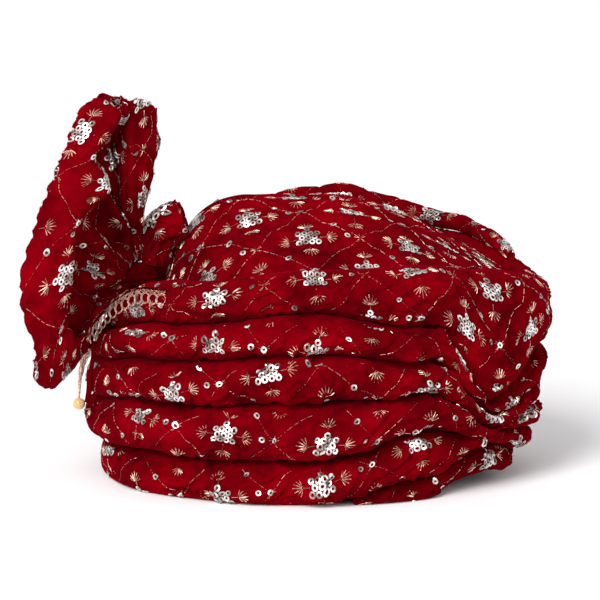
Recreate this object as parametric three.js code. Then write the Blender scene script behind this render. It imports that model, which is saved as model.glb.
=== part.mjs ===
// A pre-tied wedding turban of wound and pleated velvet, in millimetres, +Z up.
// The front faces -X and the near side faces -Y. Angles go round from the front, over the near side.
import * as THREE from 'three';

// Head hollow and crown
const hollowLength = 202;
const hollowWidth = 160;
const crownWall = 3;
const crownHeight = 167;
const crownTopFront = 92;
const crownTopBack = 120;
const crownTopSide = 88;
const crownTuck = 5;
const wallShares = [0.6, 0.3, 0];
const crownSteepFront = 6.5;
const crownSteepBack = 2.6;
const crownArch = 1.8;
const crownPleats = 4;
const crownPleatDepth = 1.6;
const knotHollowDepth = 7;
const knotHollowReach = 22;
const knotHollowAhead = 76;
const knotHollowAside = 50;

// Wound rolls: the stack's height at the near side, and the reach of the widest roll
const stackHeight = 138;
const frontReach = 136;
const backReach = 141;
const sideReach = 115;
const creaseDepth = 1.3;
const creaseCount = 9;
const creaseTwist = 1.5;
const creaseShift = 2;
const gatherAngle = 152;
const gatherWidth = 13;
const restFlat = 1.2;
const rollFullness = 0.55;
const tuckLeast = 3.5;

// Rolled edge on the far side
const topRollWidth = 14;
const topRollHeight = 13;
const topRollOut = 5;
const topRollEnd = 0.35;
const topRollFrom = 192;
const topRollTo = 333;

// Front band, lace and bead
const bandCloth = 1.6;
const bandLift = 1.2;
const bandWidthAngle = 34;
const bandSpread = 1.8;
const bandTipHeight = 54;
const bandTipRise = 0.08;
const bandTopDrop = 6.5;
const laceWidth = 6.5;
const laceThick = 1.2;
const laceLoop = 6.5;
const laceHole = 0.62;
const laceJoint = [0.14, 0.5, 0.86];
const laceTilt = 0.25;
const laceLift = 1.7;
const laceEndBelow = 2.8;
const laceEndLength = 10;
const laceEndWidth = 6;
const laceEndTaper = 0.4;
const pearlDiameter = 7.4;

// Fan and its gather
const fanReach = 100;
const fanCloth = 2;
const fanLift = 6;
const foldDepth = 7;
const farShift = 0.16;
const farSpread = 0.94;
const farDrop = 0.93;
const knotAhead = 103;
const knotAside = 8;
const knotSeatAngle = 6;
const knotRadius = 11.5;
const knotFlutes = 9;
const knotFlute = 0.06;
const leafBack = 13;
const leafLength = 24;
const leafWidth = 24;
const leafThick = 18;
const leafStart = 0.15;
const leafEnd = 0.9;

// Clearance between pieces that touch
const fitGap = 0.35;

// Fineness of the surfaces
const aroundSteps = 48;
const sectionSteps = 9;
const pleatSteps = 14;
const topRollSteps = 20;
const bandRows = 14;
const bandColumns = 8;
const laceSamples = 60;
const ovalSides = 10;
const foldSteps = 6;
const leafSteps = 7;
const laceEndSteps = 4;
const foldSplit = 2;

const stations = [
  { name: 'front', at: 0 },
  { name: 'brow', at: 33 },
  { name: 'near', at: 90 },
  { name: 'turn', at: 128 },
  { name: 'gather', at: gatherAngle },
  { name: 'back', at: 180 },
  { name: 'rise', at: 220 },
  { name: 'far', at: 262 },
  { name: 'brow', at: 327 },
  { name: 'front', at: 360 },
];

// Heights of the valleys from the floor up to the top of the rolls, as shares of stackHeight
const valleys = [
  { front: 0, brow: 0, near: 0, turn: 0, gather: 0.05, back: 0.06, rise: 0.01, far: 0 },
  { front: 0, brow: 0, near: 0, turn: 0.087, gather: 0.2, back: 0.12, rise: 0.03, far: 0 },
  { front: 0.174, brow: 0.181, near: 0.188, turn: 0.297, gather: 0.245, back: 0.23, rise: 0.205, far: 0.196 },
  { front: 0.348, brow: 0.4, near: 0.442, turn: 0.464, gather: 0.29, back: 0.34, rise: 0.39, far: 0.435 },
  { front: 0.507, brow: 0.58, near: 0.645, turn: 0.609, gather: 0.335, back: 0.44, rise: 0.56, far: 0.638 },
  { front: 0.638, brow: 0.732, near: 0.819, turn: 0.746, gather: 0.38, back: 0.57, rise: 0.73, far: 0.819 },
  { front: 0.768, brow: 0.913, near: 1, turn: 1.007, gather: 0.96, back: 0.875, rise: 0.985, far: 1.066 },
];

// Reach of each roll, as shares of frontReach, sideReach and backReach, and how far the gather draws it in
const rolls = [
  { name: 'back_tuck', front: 0.93, side: 0.9, back: 0.87, drawn: 0.04 },
  { name: 'roll_5', front: 0.945, side: 0.948, back: 0.915, drawn: 0.07 },
  { name: 'roll_4', front: 1, side: 1, back: 0.965, drawn: 0.08 },
  { name: 'roll_3', front: 0.985, side: 0.991, back: 0.98, drawn: 0.08 },
  { name: 'roll_2', front: 0.941, side: 0.957, back: 0.986, drawn: 0.07 },
  { name: 'roll_1', front: 0.86, side: 0.904, back: 1, drawn: 0 },
];

// Folds of the fan from its lower tip up to its rear edge. Rim and shoulder are shares of fanReach from
// the knot: ahead of it, aside of it and up; fold is the share of foldDepth by which it stands out.
const fanFolds = [
  { rim: [0.5, 0.42, -0.64], shoulder: [0.35, 0.5, -0.36], fold: 0 },
  { rim: [0.6, 0.56, -0.58], shoulder: [0.4, 0.62, -0.28], fold: -1 },
  { rim: [0.6, 0.68, -0.36], shoulder: [0.43, 0.7, -0.14], fold: 0.4 },
  { rim: [0.67, 0.76, -0.14], shoulder: [0.42, 0.74, 0.02], fold: -1 },
  { rim: [0.67, 0.78, 0.12], shoulder: [0.4, 0.74, 0.2], fold: 0.9 },
  { rim: [0.6, 0.74, 0.32], shoulder: [0.36, 0.7, 0.34], fold: -1 },
  { rim: [0.54, 0.66, 0.5], shoulder: [0.27, 0.62, 0.48], fold: 0.9 },
  { rim: [0.475, 0.58, 0.63], shoulder: [0.18, 0.56, 0.58], fold: -0.6 },
  { rim: [0.44, 0.52, 0.75], shoulder: [0.25, 0.52, 0.72], fold: 0.5 },
  { rim: [0.385, 0.42, 0.9], shoulder: [0.19, 0.44, 0.83], fold: -0.7 },
  { rim: [0.33, 0.32, 0.99], shoulder: [0.13, 0.36, 0.93], fold: 0 },
  { rim: [0.21, 0.2, 1.05], shoulder: [0.08, 0.28, 0.99], fold: 0 },
  { rim: [0.14, 0.02, 1.03], shoulder: [0.15, 0.04, 0.74], fold: -1 },
  { rim: [0.08, 0.16, 1.03], shoulder: [0.07, 0.22, 0.77], fold: 1 },
  { rim: [-0.04, 0.07, 1.02], shoulder: [-0.03, 0.14, 0.71], fold: 0 },
  { rim: [-0.1, -0.05, 0.93], shoulder: [-0.09, -0.02, 0.67], fold: -0.6 },
];

function mix(a, b, share) {
  return a + (b - a) * share;
}

function ease(share) {
  return share * share * (3 - 2 * share);
}

function radians(degrees) {
  return (degrees * Math.PI) / 180;
}

// A row's value at an angle round the turban, eased from one station to the next
function aroundValue(row, angle) {
  const turned = ((angle % 360) + 360) % 360;
  const next = stations.findIndex((station) => station.at > turned);
  const from = stations[next - 1];
  const to = stations[next];
  const share = ease((turned - from.at) / (to.at - from.at));
  return mix(row[from.name], row[to.name], share);
}

function valleyHeight(index, angle) {
  return aroundValue(valleys[index], angle) * stackHeight;
}

function crownEdge(angle) {
  return valleyHeight(valleys.length - 1, angle) - crownTuck;
}

// Reach at an angle of an egg-shaped plan with its own front, side and back reach
function planReach(angle, front, side, back) {
  const along = Math.cos(radians(angle));
  const across = Math.sin(radians(angle));
  return 1 / Math.hypot(along / (along > 0 ? front : back), across / side);
}

// The point at an angle, a reach from the upright axis and a height
function placeAt(angle, reach, height) {
  const turned = radians(angle);
  return new THREE.Vector3(-Math.cos(turned) * reach, -Math.sin(turned) * reach, height);
}

// Reach of the crown wall's outside at an angle and height
function wallReach(angle, height) {
  const share = Math.max(0, height / crownEdge(angle));
  const baseLength = hollowLength / 2 + crownWall;
  const baseSide = hollowWidth / 2 + crownWall;
  const foot = planReach(angle, baseLength, baseSide, baseLength);
  const top = planReach(angle, crownTopFront, crownTopSide, crownTopBack);
  return mix(foot, top, share);
}

function angleApart(a, b) {
  const apart = Math.abs(a - b) % 360;
  return Math.min(apart, 360 - apart);
}

// A closed mesh whose faces point outwards, from points and triangles
function solid(points, triangles) {
  let volume = 0;
  for (const [a, b, c] of triangles) {
    volume += points[a].dot(new THREE.Vector3().crossVectors(points[b], points[c]));
  }
  const outward = volume > 0 ? triangles : triangles.map(([a, b, c]) => [a, c, b]);
  const geometry = new THREE.BufferGeometry();
  geometry.setFromPoints(points);
  geometry.setIndex(outward.flat());
  geometry.computeVertexNormals();
  return geometry;
}

// Joins two rows of points of the same length with triangles
function joinRows(triangles, first, second, closed) {
  const last = closed ? first.length : first.length - 1;
  for (let i = 0; i < last; i++) {
    const j = (i + 1) % first.length;
    triangles.push([first[i], first[j], second[j]]);
    triangles.push([first[i], second[j], second[i]]);
  }
}

// A solid lofted through closed sections, which either closes on itself or is capped at both ends
function loft(sections, closed) {
  const points = [];
  const rows = sections.map((section) => section.map((point) => points.push(point) - 1));
  const triangles = [];
  for (let i = 0; i + 1 < rows.length; i++) {
    joinRows(triangles, rows[i], rows[i + 1], true);
  }
  const last = rows[rows.length - 1];
  if (closed) {
    joinRows(triangles, last, rows[0], true);
    return solid(points, triangles);
  }
  for (const row of [rows[0].slice().reverse(), last]) {
    const middle = new THREE.Vector3();
    row.forEach((index) => middle.addScaledVector(points[index], 1 / row.length));
    const centre = points.push(middle) - 1;
    row.forEach((index, i) => triangles.push([index, row[(i + 1) % row.length], centre]));
  }
  return solid(points, triangles);
}

// A wall between an outer and an inner grid of points, closed along its four edges
function wallBetween(outer, inner) {
  const points = [];
  const number = (grid) => grid.map((row) => row.map((point) => points.push(point) - 1));
  const column = (grid, index) => grid.map((row) => row[index]);
  const top = number(outer);
  const under = number(inner);
  const triangles = [];
  for (let i = 0; i + 1 < top.length; i++) {
    joinRows(triangles, top[i], top[i + 1], false);
    joinRows(triangles, under[i + 1], under[i], false);
  }
  const last = top.length - 1;
  const end = top[0].length - 1;
  joinRows(triangles, under[0], top[0], false);
  joinRows(triangles, top[last], under[last], false);
  joinRows(triangles, column(top, 0), column(under, 0), false);
  joinRows(triangles, column(under, end), column(top, end), false);
  return solid(points, triangles);
}

// Normals of an open grid of points
function gridNormals(grid) {
  return grid.map((row, i) => row.map((point, j) => {
    const along = new THREE.Vector3().subVectors(
      grid[Math.min(i + 1, grid.length - 1)][j],
      grid[Math.max(i - 1, 0)][j],
    );
    const across = new THREE.Vector3().subVectors(
      row[Math.min(j + 1, row.length - 1)],
      row[Math.max(j - 1, 0)],
    );
    return new THREE.Vector3().crossVectors(along, across).normalize();
  }));
}

// A sheet of even thickness about a grid of points
function sheetSolid(grid, thickness) {
  const normals = gridNormals(grid);
  const shifted = (distance) => grid.map((row, i) => row.map(
    (point, j) => point.clone().addScaledVector(normals[i][j], distance),
  ));
  return wallBetween(shifted(thickness / 2), shifted(-thickness / 2));
}

// Height of the crown at a rib that starts at an angle, where pleat goes from -1, near, to 1, far
function crownTop(angle, pleat, place) {
  const forward = Math.cos(radians(angle));
  const edge = crownEdge(pleat < 0 ? angle : -angle);
  const end = crownEdge(forward > 0 ? 0 : 180);
  const steep = forward > 0 ? crownSteepFront : crownSteepBack;
  const spine = crownHeight - (crownHeight - end) * Math.abs(forward) ** steep;
  const arch = spine - (spine - edge) * Math.abs(pleat) ** crownArch;
  const ripple = (crownPleatDepth * (Math.cos(2 * Math.PI * crownPleats * pleat) - 1)) / 2;
  const fade = Math.min(1, 3 * (1 - Math.abs(pleat))) * Math.sin(radians(angle));
  const away = Math.hypot(place.x + knotHollowAhead, place.y + knotHollowAside);
  const dent = knotHollowDepth * Math.exp(-((away / knotHollowReach) ** 2));
  return arch + ripple * fade - dent * (1 - Math.abs(pleat));
}

// The crown's dome and wall as one surface; inward is the distance to the inside of the cloth
function crownSurface(inward) {
  const points = [];
  const triangles = [];
  const half = aroundSteps / 2;
  const dome = [];
  for (let i = 0; i <= half; i++) {
    const angle = (180 * i) / half;
    const pole = i === 0 || i === half;
    const near = placeAt(angle, wallReach(angle, crownEdge(angle)) - inward, 0);
    const row = [];
    for (let j = 0; j <= pleatSteps; j++) {
      const pleat = -1 + (2 * j) / pleatSteps;
      const place = new THREE.Vector3(near.x, -near.y * pleat, 0);
      place.z = crownTop(angle, pleat, place) - inward;
      row.push(pole && j > 0 ? row[0] : points.push(place) - 1);
    }
    dome.push(row);
  }
  for (let i = 0; i < half; i++) {
    for (let j = 0; j < pleatSteps; j++) {
      const [a, b, c, d] = [dome[i][j], dome[i][j + 1], dome[i + 1][j + 1], dome[i + 1][j]];
      if (a !== b) triangles.push([a, b, c]);
      if (c !== d) triangles.push([a, c, d]);
    }
  }
  const edge = [];
  for (let i = 0; i < aroundSteps; i++) {
    edge.push(i <= half ? dome[i][0] : dome[aroundSteps - i][pleatSteps]);
  }
  const rows = [edge];
  for (const share of wallShares) {
    rows.push(edge.map((_, i) => {
      const angle = (360 * i) / aroundSteps;
      const height = mix(valleyHeight(0, angle), crownEdge(angle), share);
      return points.push(placeAt(angle, wallReach(angle, height) - inward, height)) - 1;
    }));
  }
  for (let i = 0; i + 1 < rows.length; i++) {
    joinRows(triangles, rows[i], rows[i + 1], true);
  }
  return { points, triangles, rim: rows[rows.length - 1] };
}

function crownGeometry() {
  const outside = crownSurface(0);
  const inside = crownSurface(crownWall);
  const shift = outside.points.length;
  const points = [...outside.points, ...inside.points];
  const triangles = [...outside.triangles];
  inside.triangles.forEach(([a, b, c]) => triangles.push([a + shift, c + shift, b + shift]));
  joinRows(triangles, outside.rim, inside.rim.map((index) => index + shift), true);
  return solid(points, triangles);
}

// A roll's section at an angle: flat on the crown wall, full outside, and flat where it would pass the floor
function rollSection(index, angle) {
  const roll = rolls[index];
  const lowest = valleyHeight(index, angle);
  const low = lowest < restFlat ? lowest - restFlat : lowest + fitGap / 2;
  const high = valleyHeight(index + 1, angle) - fitGap / 2;
  const pull = Math.exp(-((angleApart(angle, gatherAngle) / gatherWidth) ** 2));
  const reach = planReach(angle, roll.front * frontReach, roll.side * sideReach, roll.back * backReach);
  const section = [];
  for (let i = 0; i <= sectionSteps; i++) {
    const turn = (Math.PI * i) / sectionSteps;
    const height = Math.max(0, mix(low, high, (1 - Math.cos(turn)) / 2));
    const fullness = i === sectionSteps ? 0 : Math.sin(turn) ** rollFullness;
    const crease = creaseDepth * Math.sin(radians(angle * creaseCount) + index * creaseShift + turn * creaseTwist);
    const outside = reach * (1 - roll.drawn * pull) + crease;
    section.push({ reach: mix(wallReach(angle, height) + fitGap, outside, fullness), height });
  }
  return section;
}

function sectionPoints(index, angle) {
  return rollSection(index, angle).map(({ reach, height }) => placeAt(angle, reach, height));
}

function rollGeometry(index) {
  const sections = [];
  for (let i = 0; i < aroundSteps; i++) {
    sections.push(sectionPoints(index, (360 * i) / aroundSteps));
  }
  return loft(sections, true);
}

// The tucked cloth fills the space under the lowest roll where the gather lifts it
function tuckGeometry() {
  const sections = [];
  for (let i = 0; i < aroundSteps; i++) {
    const angle = (360 * i) / aroundSteps;
    if (valleyHeight(1, angle) - valleyHeight(0, angle) > tuckLeast) {
      sections.push(sectionPoints(0, angle));
    }
  }
  return loft(sections, false);
}

// An oval section about a point, in the plane of two directions
function ovalSection(centre, across, up, width, height) {
  const section = [];
  for (let i = 0; i < ovalSides; i++) {
    const turn = (2 * Math.PI * i) / ovalSides;
    const point = centre.clone();
    point.addScaledVector(across, (Math.cos(turn) * width) / 2);
    point.addScaledVector(up, (Math.sin(turn) * height) / 2);
    section.push(point);
  }
  return section;
}

// The rolled edge lies on the far half of the top roll and thins out towards both ends
function topRollGeometry() {
  const up = new THREE.Vector3(0, 0, 1);
  const sections = [];
  for (let i = 0; i <= topRollSteps; i++) {
    const angle = mix(topRollFrom, topRollTo, i / topRollSteps);
    const size = mix(topRollEnd, 1, Math.sin((Math.PI * i) / topRollSteps) ** 0.5);
    const reach = wallReach(angle, crownEdge(angle)) + topRollOut;
    const base = valleyHeight(valleys.length - 1, angle) + fitGap;
    const centre = placeAt(angle, reach, base + (topRollHeight * size) / 2);
    const across = placeAt(angle, 1, 0);
    sections.push(ovalSection(centre, across, up, topRollWidth * size, topRollHeight * size));
  }
  return loft(sections, false);
}

// The rolls' outline at an angle, bridged over the valleys as a taut cloth would be
function bridgedOutline(angle) {
  const outline = [];
  for (let index = 1; index < rolls.length; index++) {
    outline.push(...rollSection(index, angle));
  }
  outline.sort((a, b) => a.height - b.height || a.reach - b.reach);
  const bridge = [];
  for (const point of outline) {
    while (bridge.length > 1) {
      const [a, b] = bridge.slice(-2);
      const rise = (b.height - a.height) * (point.reach - a.reach);
      const run = (b.reach - a.reach) * (point.height - a.height);
      if (rise < run) break;
      bridge.pop();
    }
    bridge.push(point);
  }
  return bridge;
}

// A point off an outline at an angle, a height and a distance out
function outlinePoint(outline, angle, height, out) {
  const next = Math.max(1, outline.findIndex((point) => point.height > height));
  const [a, b] = [outline[next - 1], outline[next]];
  const reach = mix(a.reach, b.reach, (height - a.height) / (b.height - a.height));
  return placeAt(angle, reach + out, height);
}

function coverPoint(angle, height, out) {
  return outlinePoint(bridgedOutline(angle), angle, height, out);
}

function bandHeight(angle, rise) {
  const top = valleyHeight(valleys.length - 1, angle) - bandTopDrop;
  return mix(bandTipHeight, top, rise);
}

// A point of the front band: side goes from -1 to 1 across it and rise from 0 at its tip to 1 at its top
function bandPoint(side, rise, out) {
  const angle = side * bandWidthAngle * rise ** bandSpread;
  return coverPoint(angle, bandHeight(angle, rise), out);
}

function bandGeometry() {
  const grid = (out) => {
    const rows = [];
    for (let i = 0; i <= bandRows; i++) {
      const row = [];
      for (let j = 0; j <= bandColumns; j++) {
        row.push(bandPoint(mix(-1, 1, j / bandColumns), mix(bandTipRise, 1, i / bandRows), out));
      }
      rows.push(row);
    }
    return rows;
  };
  return wallBetween(grid(bandLift + bandCloth), grid(bandLift));
}

// Points along one edge of the band, with the directions outwards from the edge and off the rolls
function laceFrames(side) {
  const edge = [];
  for (let i = 0; i <= laceSamples; i++) {
    edge.push(bandPoint(side, mix(bandTipRise, 1, i / laceSamples), laceLift));
  }
  const curve = new THREE.CatmullRomCurve3(edge);
  const loops = Math.round(curve.getLength() / laceLoop);
  const frames = [];
  for (let i = 0; i <= loops * 2; i++) {
    const centre = curve.getPointAt(i / (loops * 2));
    const along = curve.getTangentAt(i / (loops * 2));
    const off = new THREE.Vector3(centre.x, centre.y, laceTilt * centre.z).normalize();
    const out = new THREE.Vector3().crossVectors(along, off).multiplyScalar(side).normalize();
    off.crossVectors(out, along).multiplyScalar(side).normalize();
    frames.push({ centre, out, off });
  }
  return frames;
}

// A point of the lace: along counts half loops, across goes over its width and level through it
function lacePoint(frames, along, across, level) {
  const index = Math.min(Math.floor(along), frames.length - 2);
  const [from, to] = [frames[index], frames[index + 1]].map(({ centre, out, off }) => {
    const point = centre.clone().addScaledVector(out, fitGap + across * laceWidth);
    return point.addScaledVector(off, level * laceThick);
  });
  return from.lerp(to, along - index);
}

// The lace is a ribbon of oval loops, each cut through
function laceGeometry(side) {
  const frames = laceFrames(side);
  const points = [];
  const triangles = [];
  const add = (along, across, level) => points.push(lacePoint(frames, along, across, level)) - 1;
  const joint = (along) => [0, 1].map((level) => laceJoint.map((across) => add(along, across, level)));
  const strip = (first, second) => joinRows(triangles, first, second, false);
  let start = joint(0);
  strip(start[1], start[0]);
  for (let along = 0; along + 2 < frames.length; along += 2) {
    const end = joint(along + 2);
    const [low, high] = [0, 1].map((level) => {
      const ends = end[level].slice().reverse();
      return [...start[level], add(along + 1, 1, level), ...ends, add(along + 1, 0, level)];
    });
    const [lowHole, highHole] = [0, 1].map((level) => low.map((_, i) => {
      const turn = (Math.PI * (5 - i)) / 4;
      const reach = 1 + Math.cos(turn) * laceHole;
      return add(along + reach, (1 + Math.sin(turn) * laceHole) / 2, level);
    }));
    joinRows(triangles, low, lowHole, true);
    joinRows(triangles, highHole, high, true);
    joinRows(triangles, lowHole, highHole, true);
    strip(high.slice(2, 5), low.slice(2, 5));
    strip([...high.slice(6), high[0]], [...low.slice(6), low[0]]);
    start = end;
  }
  strip(start[0], start[1]);
  return solid(points, triangles);
}

// The lace's two ends are gathered below the band's tip
function laceEndHeight(share) {
  return bandHeight(0, bandTipRise) - laceEndBelow - share * laceEndLength;
}

function laceEndGeometry() {
  const across = new THREE.Vector3(0, 1, 0);
  const ahead = new THREE.Vector3(-1, 0, 0);
  const sections = [];
  for (let i = 0; i <= laceEndSteps; i++) {
    const share = i / laceEndSteps;
    const width = laceEndWidth * mix(1, laceEndTaper, share);
    const centre = coverPoint(0, laceEndHeight(share), fitGap * 2 + laceThick);
    sections.push(ovalSection(centre, across, ahead, width, laceThick * 2));
  }
  return loft(sections, false);
}

// The bead hangs on the lace's end and lies against the fourth roll
function pearlMesh(material) {
  const radius = pearlDiameter / 2;
  const height = laceEndHeight(1) - fitGap - radius;
  const mesh = new THREE.Mesh(new THREE.SphereGeometry(radius, 16, 12), material);
  mesh.position.copy(outlinePoint(rollSection(2, 0), 0, height, radius + fitGap * 2));
  return mesh;
}

// The knot is a fluted lump that the fan's folds spring from
function knotGeometry() {
  const geometry = new THREE.SphereGeometry(knotRadius, 20, 12);
  const place = geometry.attributes.position;
  for (let i = 0; i < place.count; i++) {
    const [x, y, z] = [place.getX(i), place.getY(i), place.getZ(i)];
    const flute = 1 - knotFlute * (1 - Math.cos(knotFlutes * Math.atan2(z, x))) * (1 - Math.abs(y) / knotRadius);
    place.setXYZ(i, x * flute, y, z * flute);
  }
  geometry.rotateX(Math.PI / 2);
  return geometry;
}

// The knot sits on the top roll's front
function knotCentre() {
  const seat = valleyHeight(valleys.length - 1, knotSeatAngle);
  return new THREE.Vector3(-knotAhead, -knotAside, seat + fitGap + knotRadius);
}

// A point of the fan from its shares of fanReach ahead and aside of the knot and up from above it
function fanPoint([ahead, aside, up]) {
  const point = new THREE.Vector3(-ahead, -aside, up).multiplyScalar(fanReach);
  point.z += fanLift;
  return point.add(knotCentre());
}

// The near folds and, mirrored to the far side, the same folds again
function allFolds() {
  const far = fanFolds.slice(0, -1).reverse().map((row) => {
    const cross = ([ahead, aside, up]) => [ahead, -(aside + farShift) * farSpread, up * farDrop];
    return { rim: cross(row.rim), shoulder: cross(row.shoulder), fold: row.fold };
  });
  return [...fanFolds, ...far];
}

// One fold line of the fan, from the knot over its shoulder to the rim
function foldLine(row, next, previous) {
  const shoulder = fanPoint(row.shoulder);
  const rim = fanPoint(row.rim);
  const outward = shoulder.clone().sub(knotCentre()).normalize();
  const root = knotCentre().addScaledVector(outward, knotRadius + fitGap);
  const sideways = fanPoint(next.shoulder).sub(fanPoint(previous.shoulder));
  const proud = new THREE.Vector3().crossVectors(sideways, outward).normalize();
  const middle = root.clone().lerp(shoulder, 0.55).addScaledVector(proud, row.fold * foldDepth);
  const curve = new THREE.CatmullRomCurve3([root, middle, shoulder, rim], false, 'centripetal');
  return curve.getPoints(foldSteps);
}

function fanGeometry() {
  const folds = allFolds();
  const lines = folds.map((row, i) => foldLine(
    row,
    folds[Math.min(i + 1, folds.length - 1)],
    folds[Math.max(i - 1, 0)],
  ));
  const columns = lines[0].map((_, j) => {
    const curve = new THREE.CatmullRomCurve3(lines.map((line) => line[j]), false, 'centripetal');
    return curve.getPoints((lines.length - 1) * foldSplit);
  });
  return sheetSolid(columns, fanCloth);
}

// The small end of the gather stands behind the fan and leans back over the crown
function leafGeometry() {
  const seat = Math.sqrt(knotRadius ** 2 - (leafBack - leafThick / 3) ** 2) + fitGap;
  const foot = knotCentre().add(new THREE.Vector3(leafBack, 0, seat));
  const lean = (back, aside, up) => foot.clone().add(
    new THREE.Vector3(back, -aside, up).multiplyScalar(leafLength),
  );
  const path = new THREE.CatmullRomCurve3([foot, lean(0.02, 0.04, 0.6), lean(0.2, 0.08, 1.1), lean(0.55, 0.1, 1.3)]);
  const across = new THREE.Vector3(0, 1, 0);
  const sections = [];
  for (let i = 0; i <= leafSteps; i++) {
    const share = i / leafSteps;
    const up = new THREE.Vector3().crossVectors(path.getTangentAt(share), across).normalize();
    const full = Math.sin(Math.PI * mix(leafStart, leafEnd, share)) ** 0.5;
    sections.push(ovalSection(path.getPointAt(share), across, up, leafWidth * full, leafThick * full));
  }
  return loft(sections, false);
}

const velvet = { color: 0x7c0410, roughness: 0.85, metalness: 0 };
const gold = { color: 0xc8a088, roughness: 0.4, metalness: 0.6 };
const netting = { color: 0x34060a, roughness: 0.8, metalness: 0.1 };
const bead = { color: 0xf3d9a6, roughness: 0.25, metalness: 0 };

function named(name, geometry, finish) {
  const mesh = new THREE.Mesh(geometry, new THREE.MeshStandardMaterial(finish));
  mesh.name = name;
  return mesh;
}

function buildTurban() {
  const turban = new THREE.Group();
  turban.add(named('crown', crownGeometry(), velvet));
  turban.add(named('back_tuck', tuckGeometry(), velvet));
  for (let index = 1; index < rolls.length; index++) {
    turban.add(named(rolls[index].name, rollGeometry(index), velvet));
  }
  turban.add(named('top_roll', topRollGeometry(), velvet));
  turban.add(named('front_band', bandGeometry(), netting));
  turban.add(named('lace_near', laceGeometry(1), gold));
  turban.add(named('lace_far', laceGeometry(-1), gold));
  turban.add(named('lace_end', laceEndGeometry(), gold));
  const pearl = pearlMesh(new THREE.MeshStandardMaterial(bead));
  pearl.name = 'pearl';
  turban.add(pearl);
  const knot = named('knot', knotGeometry(), velvet);
  knot.position.copy(knotCentre());
  turban.add(knot);
  turban.add(named('fan', fanGeometry(), velvet));
  turban.add(named('rear_leaf', leafGeometry(), velvet));
  return turban;
}

// The origin is the middle of the part's footprint, on the floor
const turban = buildTurban();
const extent = new THREE.Box3().setFromObject(turban, true);
const middle = extent.getCenter(new THREE.Vector3());
turban.position.set(-middle.x, -middle.y, -extent.min.z);
turban.updateMatrixWorld(true);

export default turban;
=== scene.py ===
# A pre-tied wedding turban of wound and pleated velvet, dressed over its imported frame.
# Lengths are in millimetres round the turban's upright axis until a mesh is made; -X is the front.
# Angles go round from the front, over the near side at 90 degrees, to the back at 180.
import math

import bmesh
import bpy
import numpy as np
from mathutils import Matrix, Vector


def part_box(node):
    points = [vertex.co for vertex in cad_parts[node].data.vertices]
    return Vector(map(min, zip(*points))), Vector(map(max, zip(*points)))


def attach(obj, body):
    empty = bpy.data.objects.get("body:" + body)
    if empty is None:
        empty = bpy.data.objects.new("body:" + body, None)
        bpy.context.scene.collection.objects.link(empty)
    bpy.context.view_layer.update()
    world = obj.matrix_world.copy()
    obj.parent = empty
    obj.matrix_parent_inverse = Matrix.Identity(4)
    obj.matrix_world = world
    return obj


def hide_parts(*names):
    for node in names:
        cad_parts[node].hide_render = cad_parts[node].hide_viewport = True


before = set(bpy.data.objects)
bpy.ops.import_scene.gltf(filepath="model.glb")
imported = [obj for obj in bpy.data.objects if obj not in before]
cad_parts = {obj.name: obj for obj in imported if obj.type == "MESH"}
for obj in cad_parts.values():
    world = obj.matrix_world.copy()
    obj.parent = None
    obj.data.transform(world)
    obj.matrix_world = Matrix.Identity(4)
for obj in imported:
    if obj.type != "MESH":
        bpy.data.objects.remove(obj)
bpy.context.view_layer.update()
scene = bpy.context.scene

print("measuring the frame")
mm = 0.001
hollowLength = 202
hollowWidth = 160
crownWall = 3
stackHeight = 138
frontReach = 136
backReach = 141
sideReach = 115
fitGap = 0.35
crownLow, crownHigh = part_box("crown")
axisPoint = Vector((
    crownLow[0] + (hollowLength / 2 + crownWall) * mm,
    (crownLow[1] + crownHigh[1]) / 2,
    0,
))

flatStart = 20, 200            # where a cloth's flat map starts along it, and where its middle lies across it
farMap = 1000                  # how far from it the map of a sheet's other side lies

stations = [
    ("front", 0), ("brow", 33), ("near", 90), ("turn", 128), ("gather", 152),
    ("back", 180), ("rise", 220), ("far", 262), ("brow", 327), ("front", 360),
]

# Heights of the valleys from the floor up to the top of the rolls, as shares of stackHeight
valleys = [
    {"front": 0, "brow": 0, "near": 0, "turn": 0, "gather": 0.05, "back": 0.06, "rise": 0.01, "far": 0},
    {"front": 0, "brow": 0, "near": 0, "turn": 0.087, "gather": 0.2, "back": 0.12, "rise": 0.03, "far": 0},
    {"front": 0.174, "brow": 0.181, "near": 0.188, "turn": 0.297, "gather": 0.245, "back": 0.23,
     "rise": 0.205, "far": 0.196},
    {"front": 0.348, "brow": 0.4, "near": 0.442, "turn": 0.464, "gather": 0.29, "back": 0.34,
     "rise": 0.39, "far": 0.435},
    {"front": 0.507, "brow": 0.58, "near": 0.645, "turn": 0.609, "gather": 0.335, "back": 0.44,
     "rise": 0.56, "far": 0.638},
    {"front": 0.638, "brow": 0.732, "near": 0.819, "turn": 0.746, "gather": 0.38, "back": 0.57,
     "rise": 0.73, "far": 0.819},
    {"front": 0.768, "brow": 0.913, "near": 1, "turn": 1.007, "gather": 0.96, "back": 0.875,
     "rise": 0.985, "far": 1.066},
]
topValley = len(valleys) - 1


def mix(a, b, share):
    return a + (b - a) * share


# A row's value at an angle, eased from one station to the next
def aroundValue(row, angle):
    turned = np.mod(np.asarray(angle, dtype=float), 360)
    places = np.array([place for _, place in stations], dtype=float)
    values = np.array([row[name] for name, _ in stations], dtype=float)
    index = np.clip(np.searchsorted(places, turned, side="right") - 1, 0, len(places) - 2)
    share = (turned - places[index]) / (places[index + 1] - places[index])
    share = share * share * (3 - 2 * share)
    return mix(values[index], values[index + 1], share)


def valleyHeight(index, angle):
    return aroundValue(valleys[index], angle) * stackHeight


# Reach at an angle of an egg-shaped plan with its own front, side and back reach
def planReach(angle, front, side, back):
    along = np.cos(np.radians(angle))
    across = np.sin(np.radians(angle))
    return 1 / np.hypot(along / np.where(along > 0, front, back), across / side)


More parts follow.
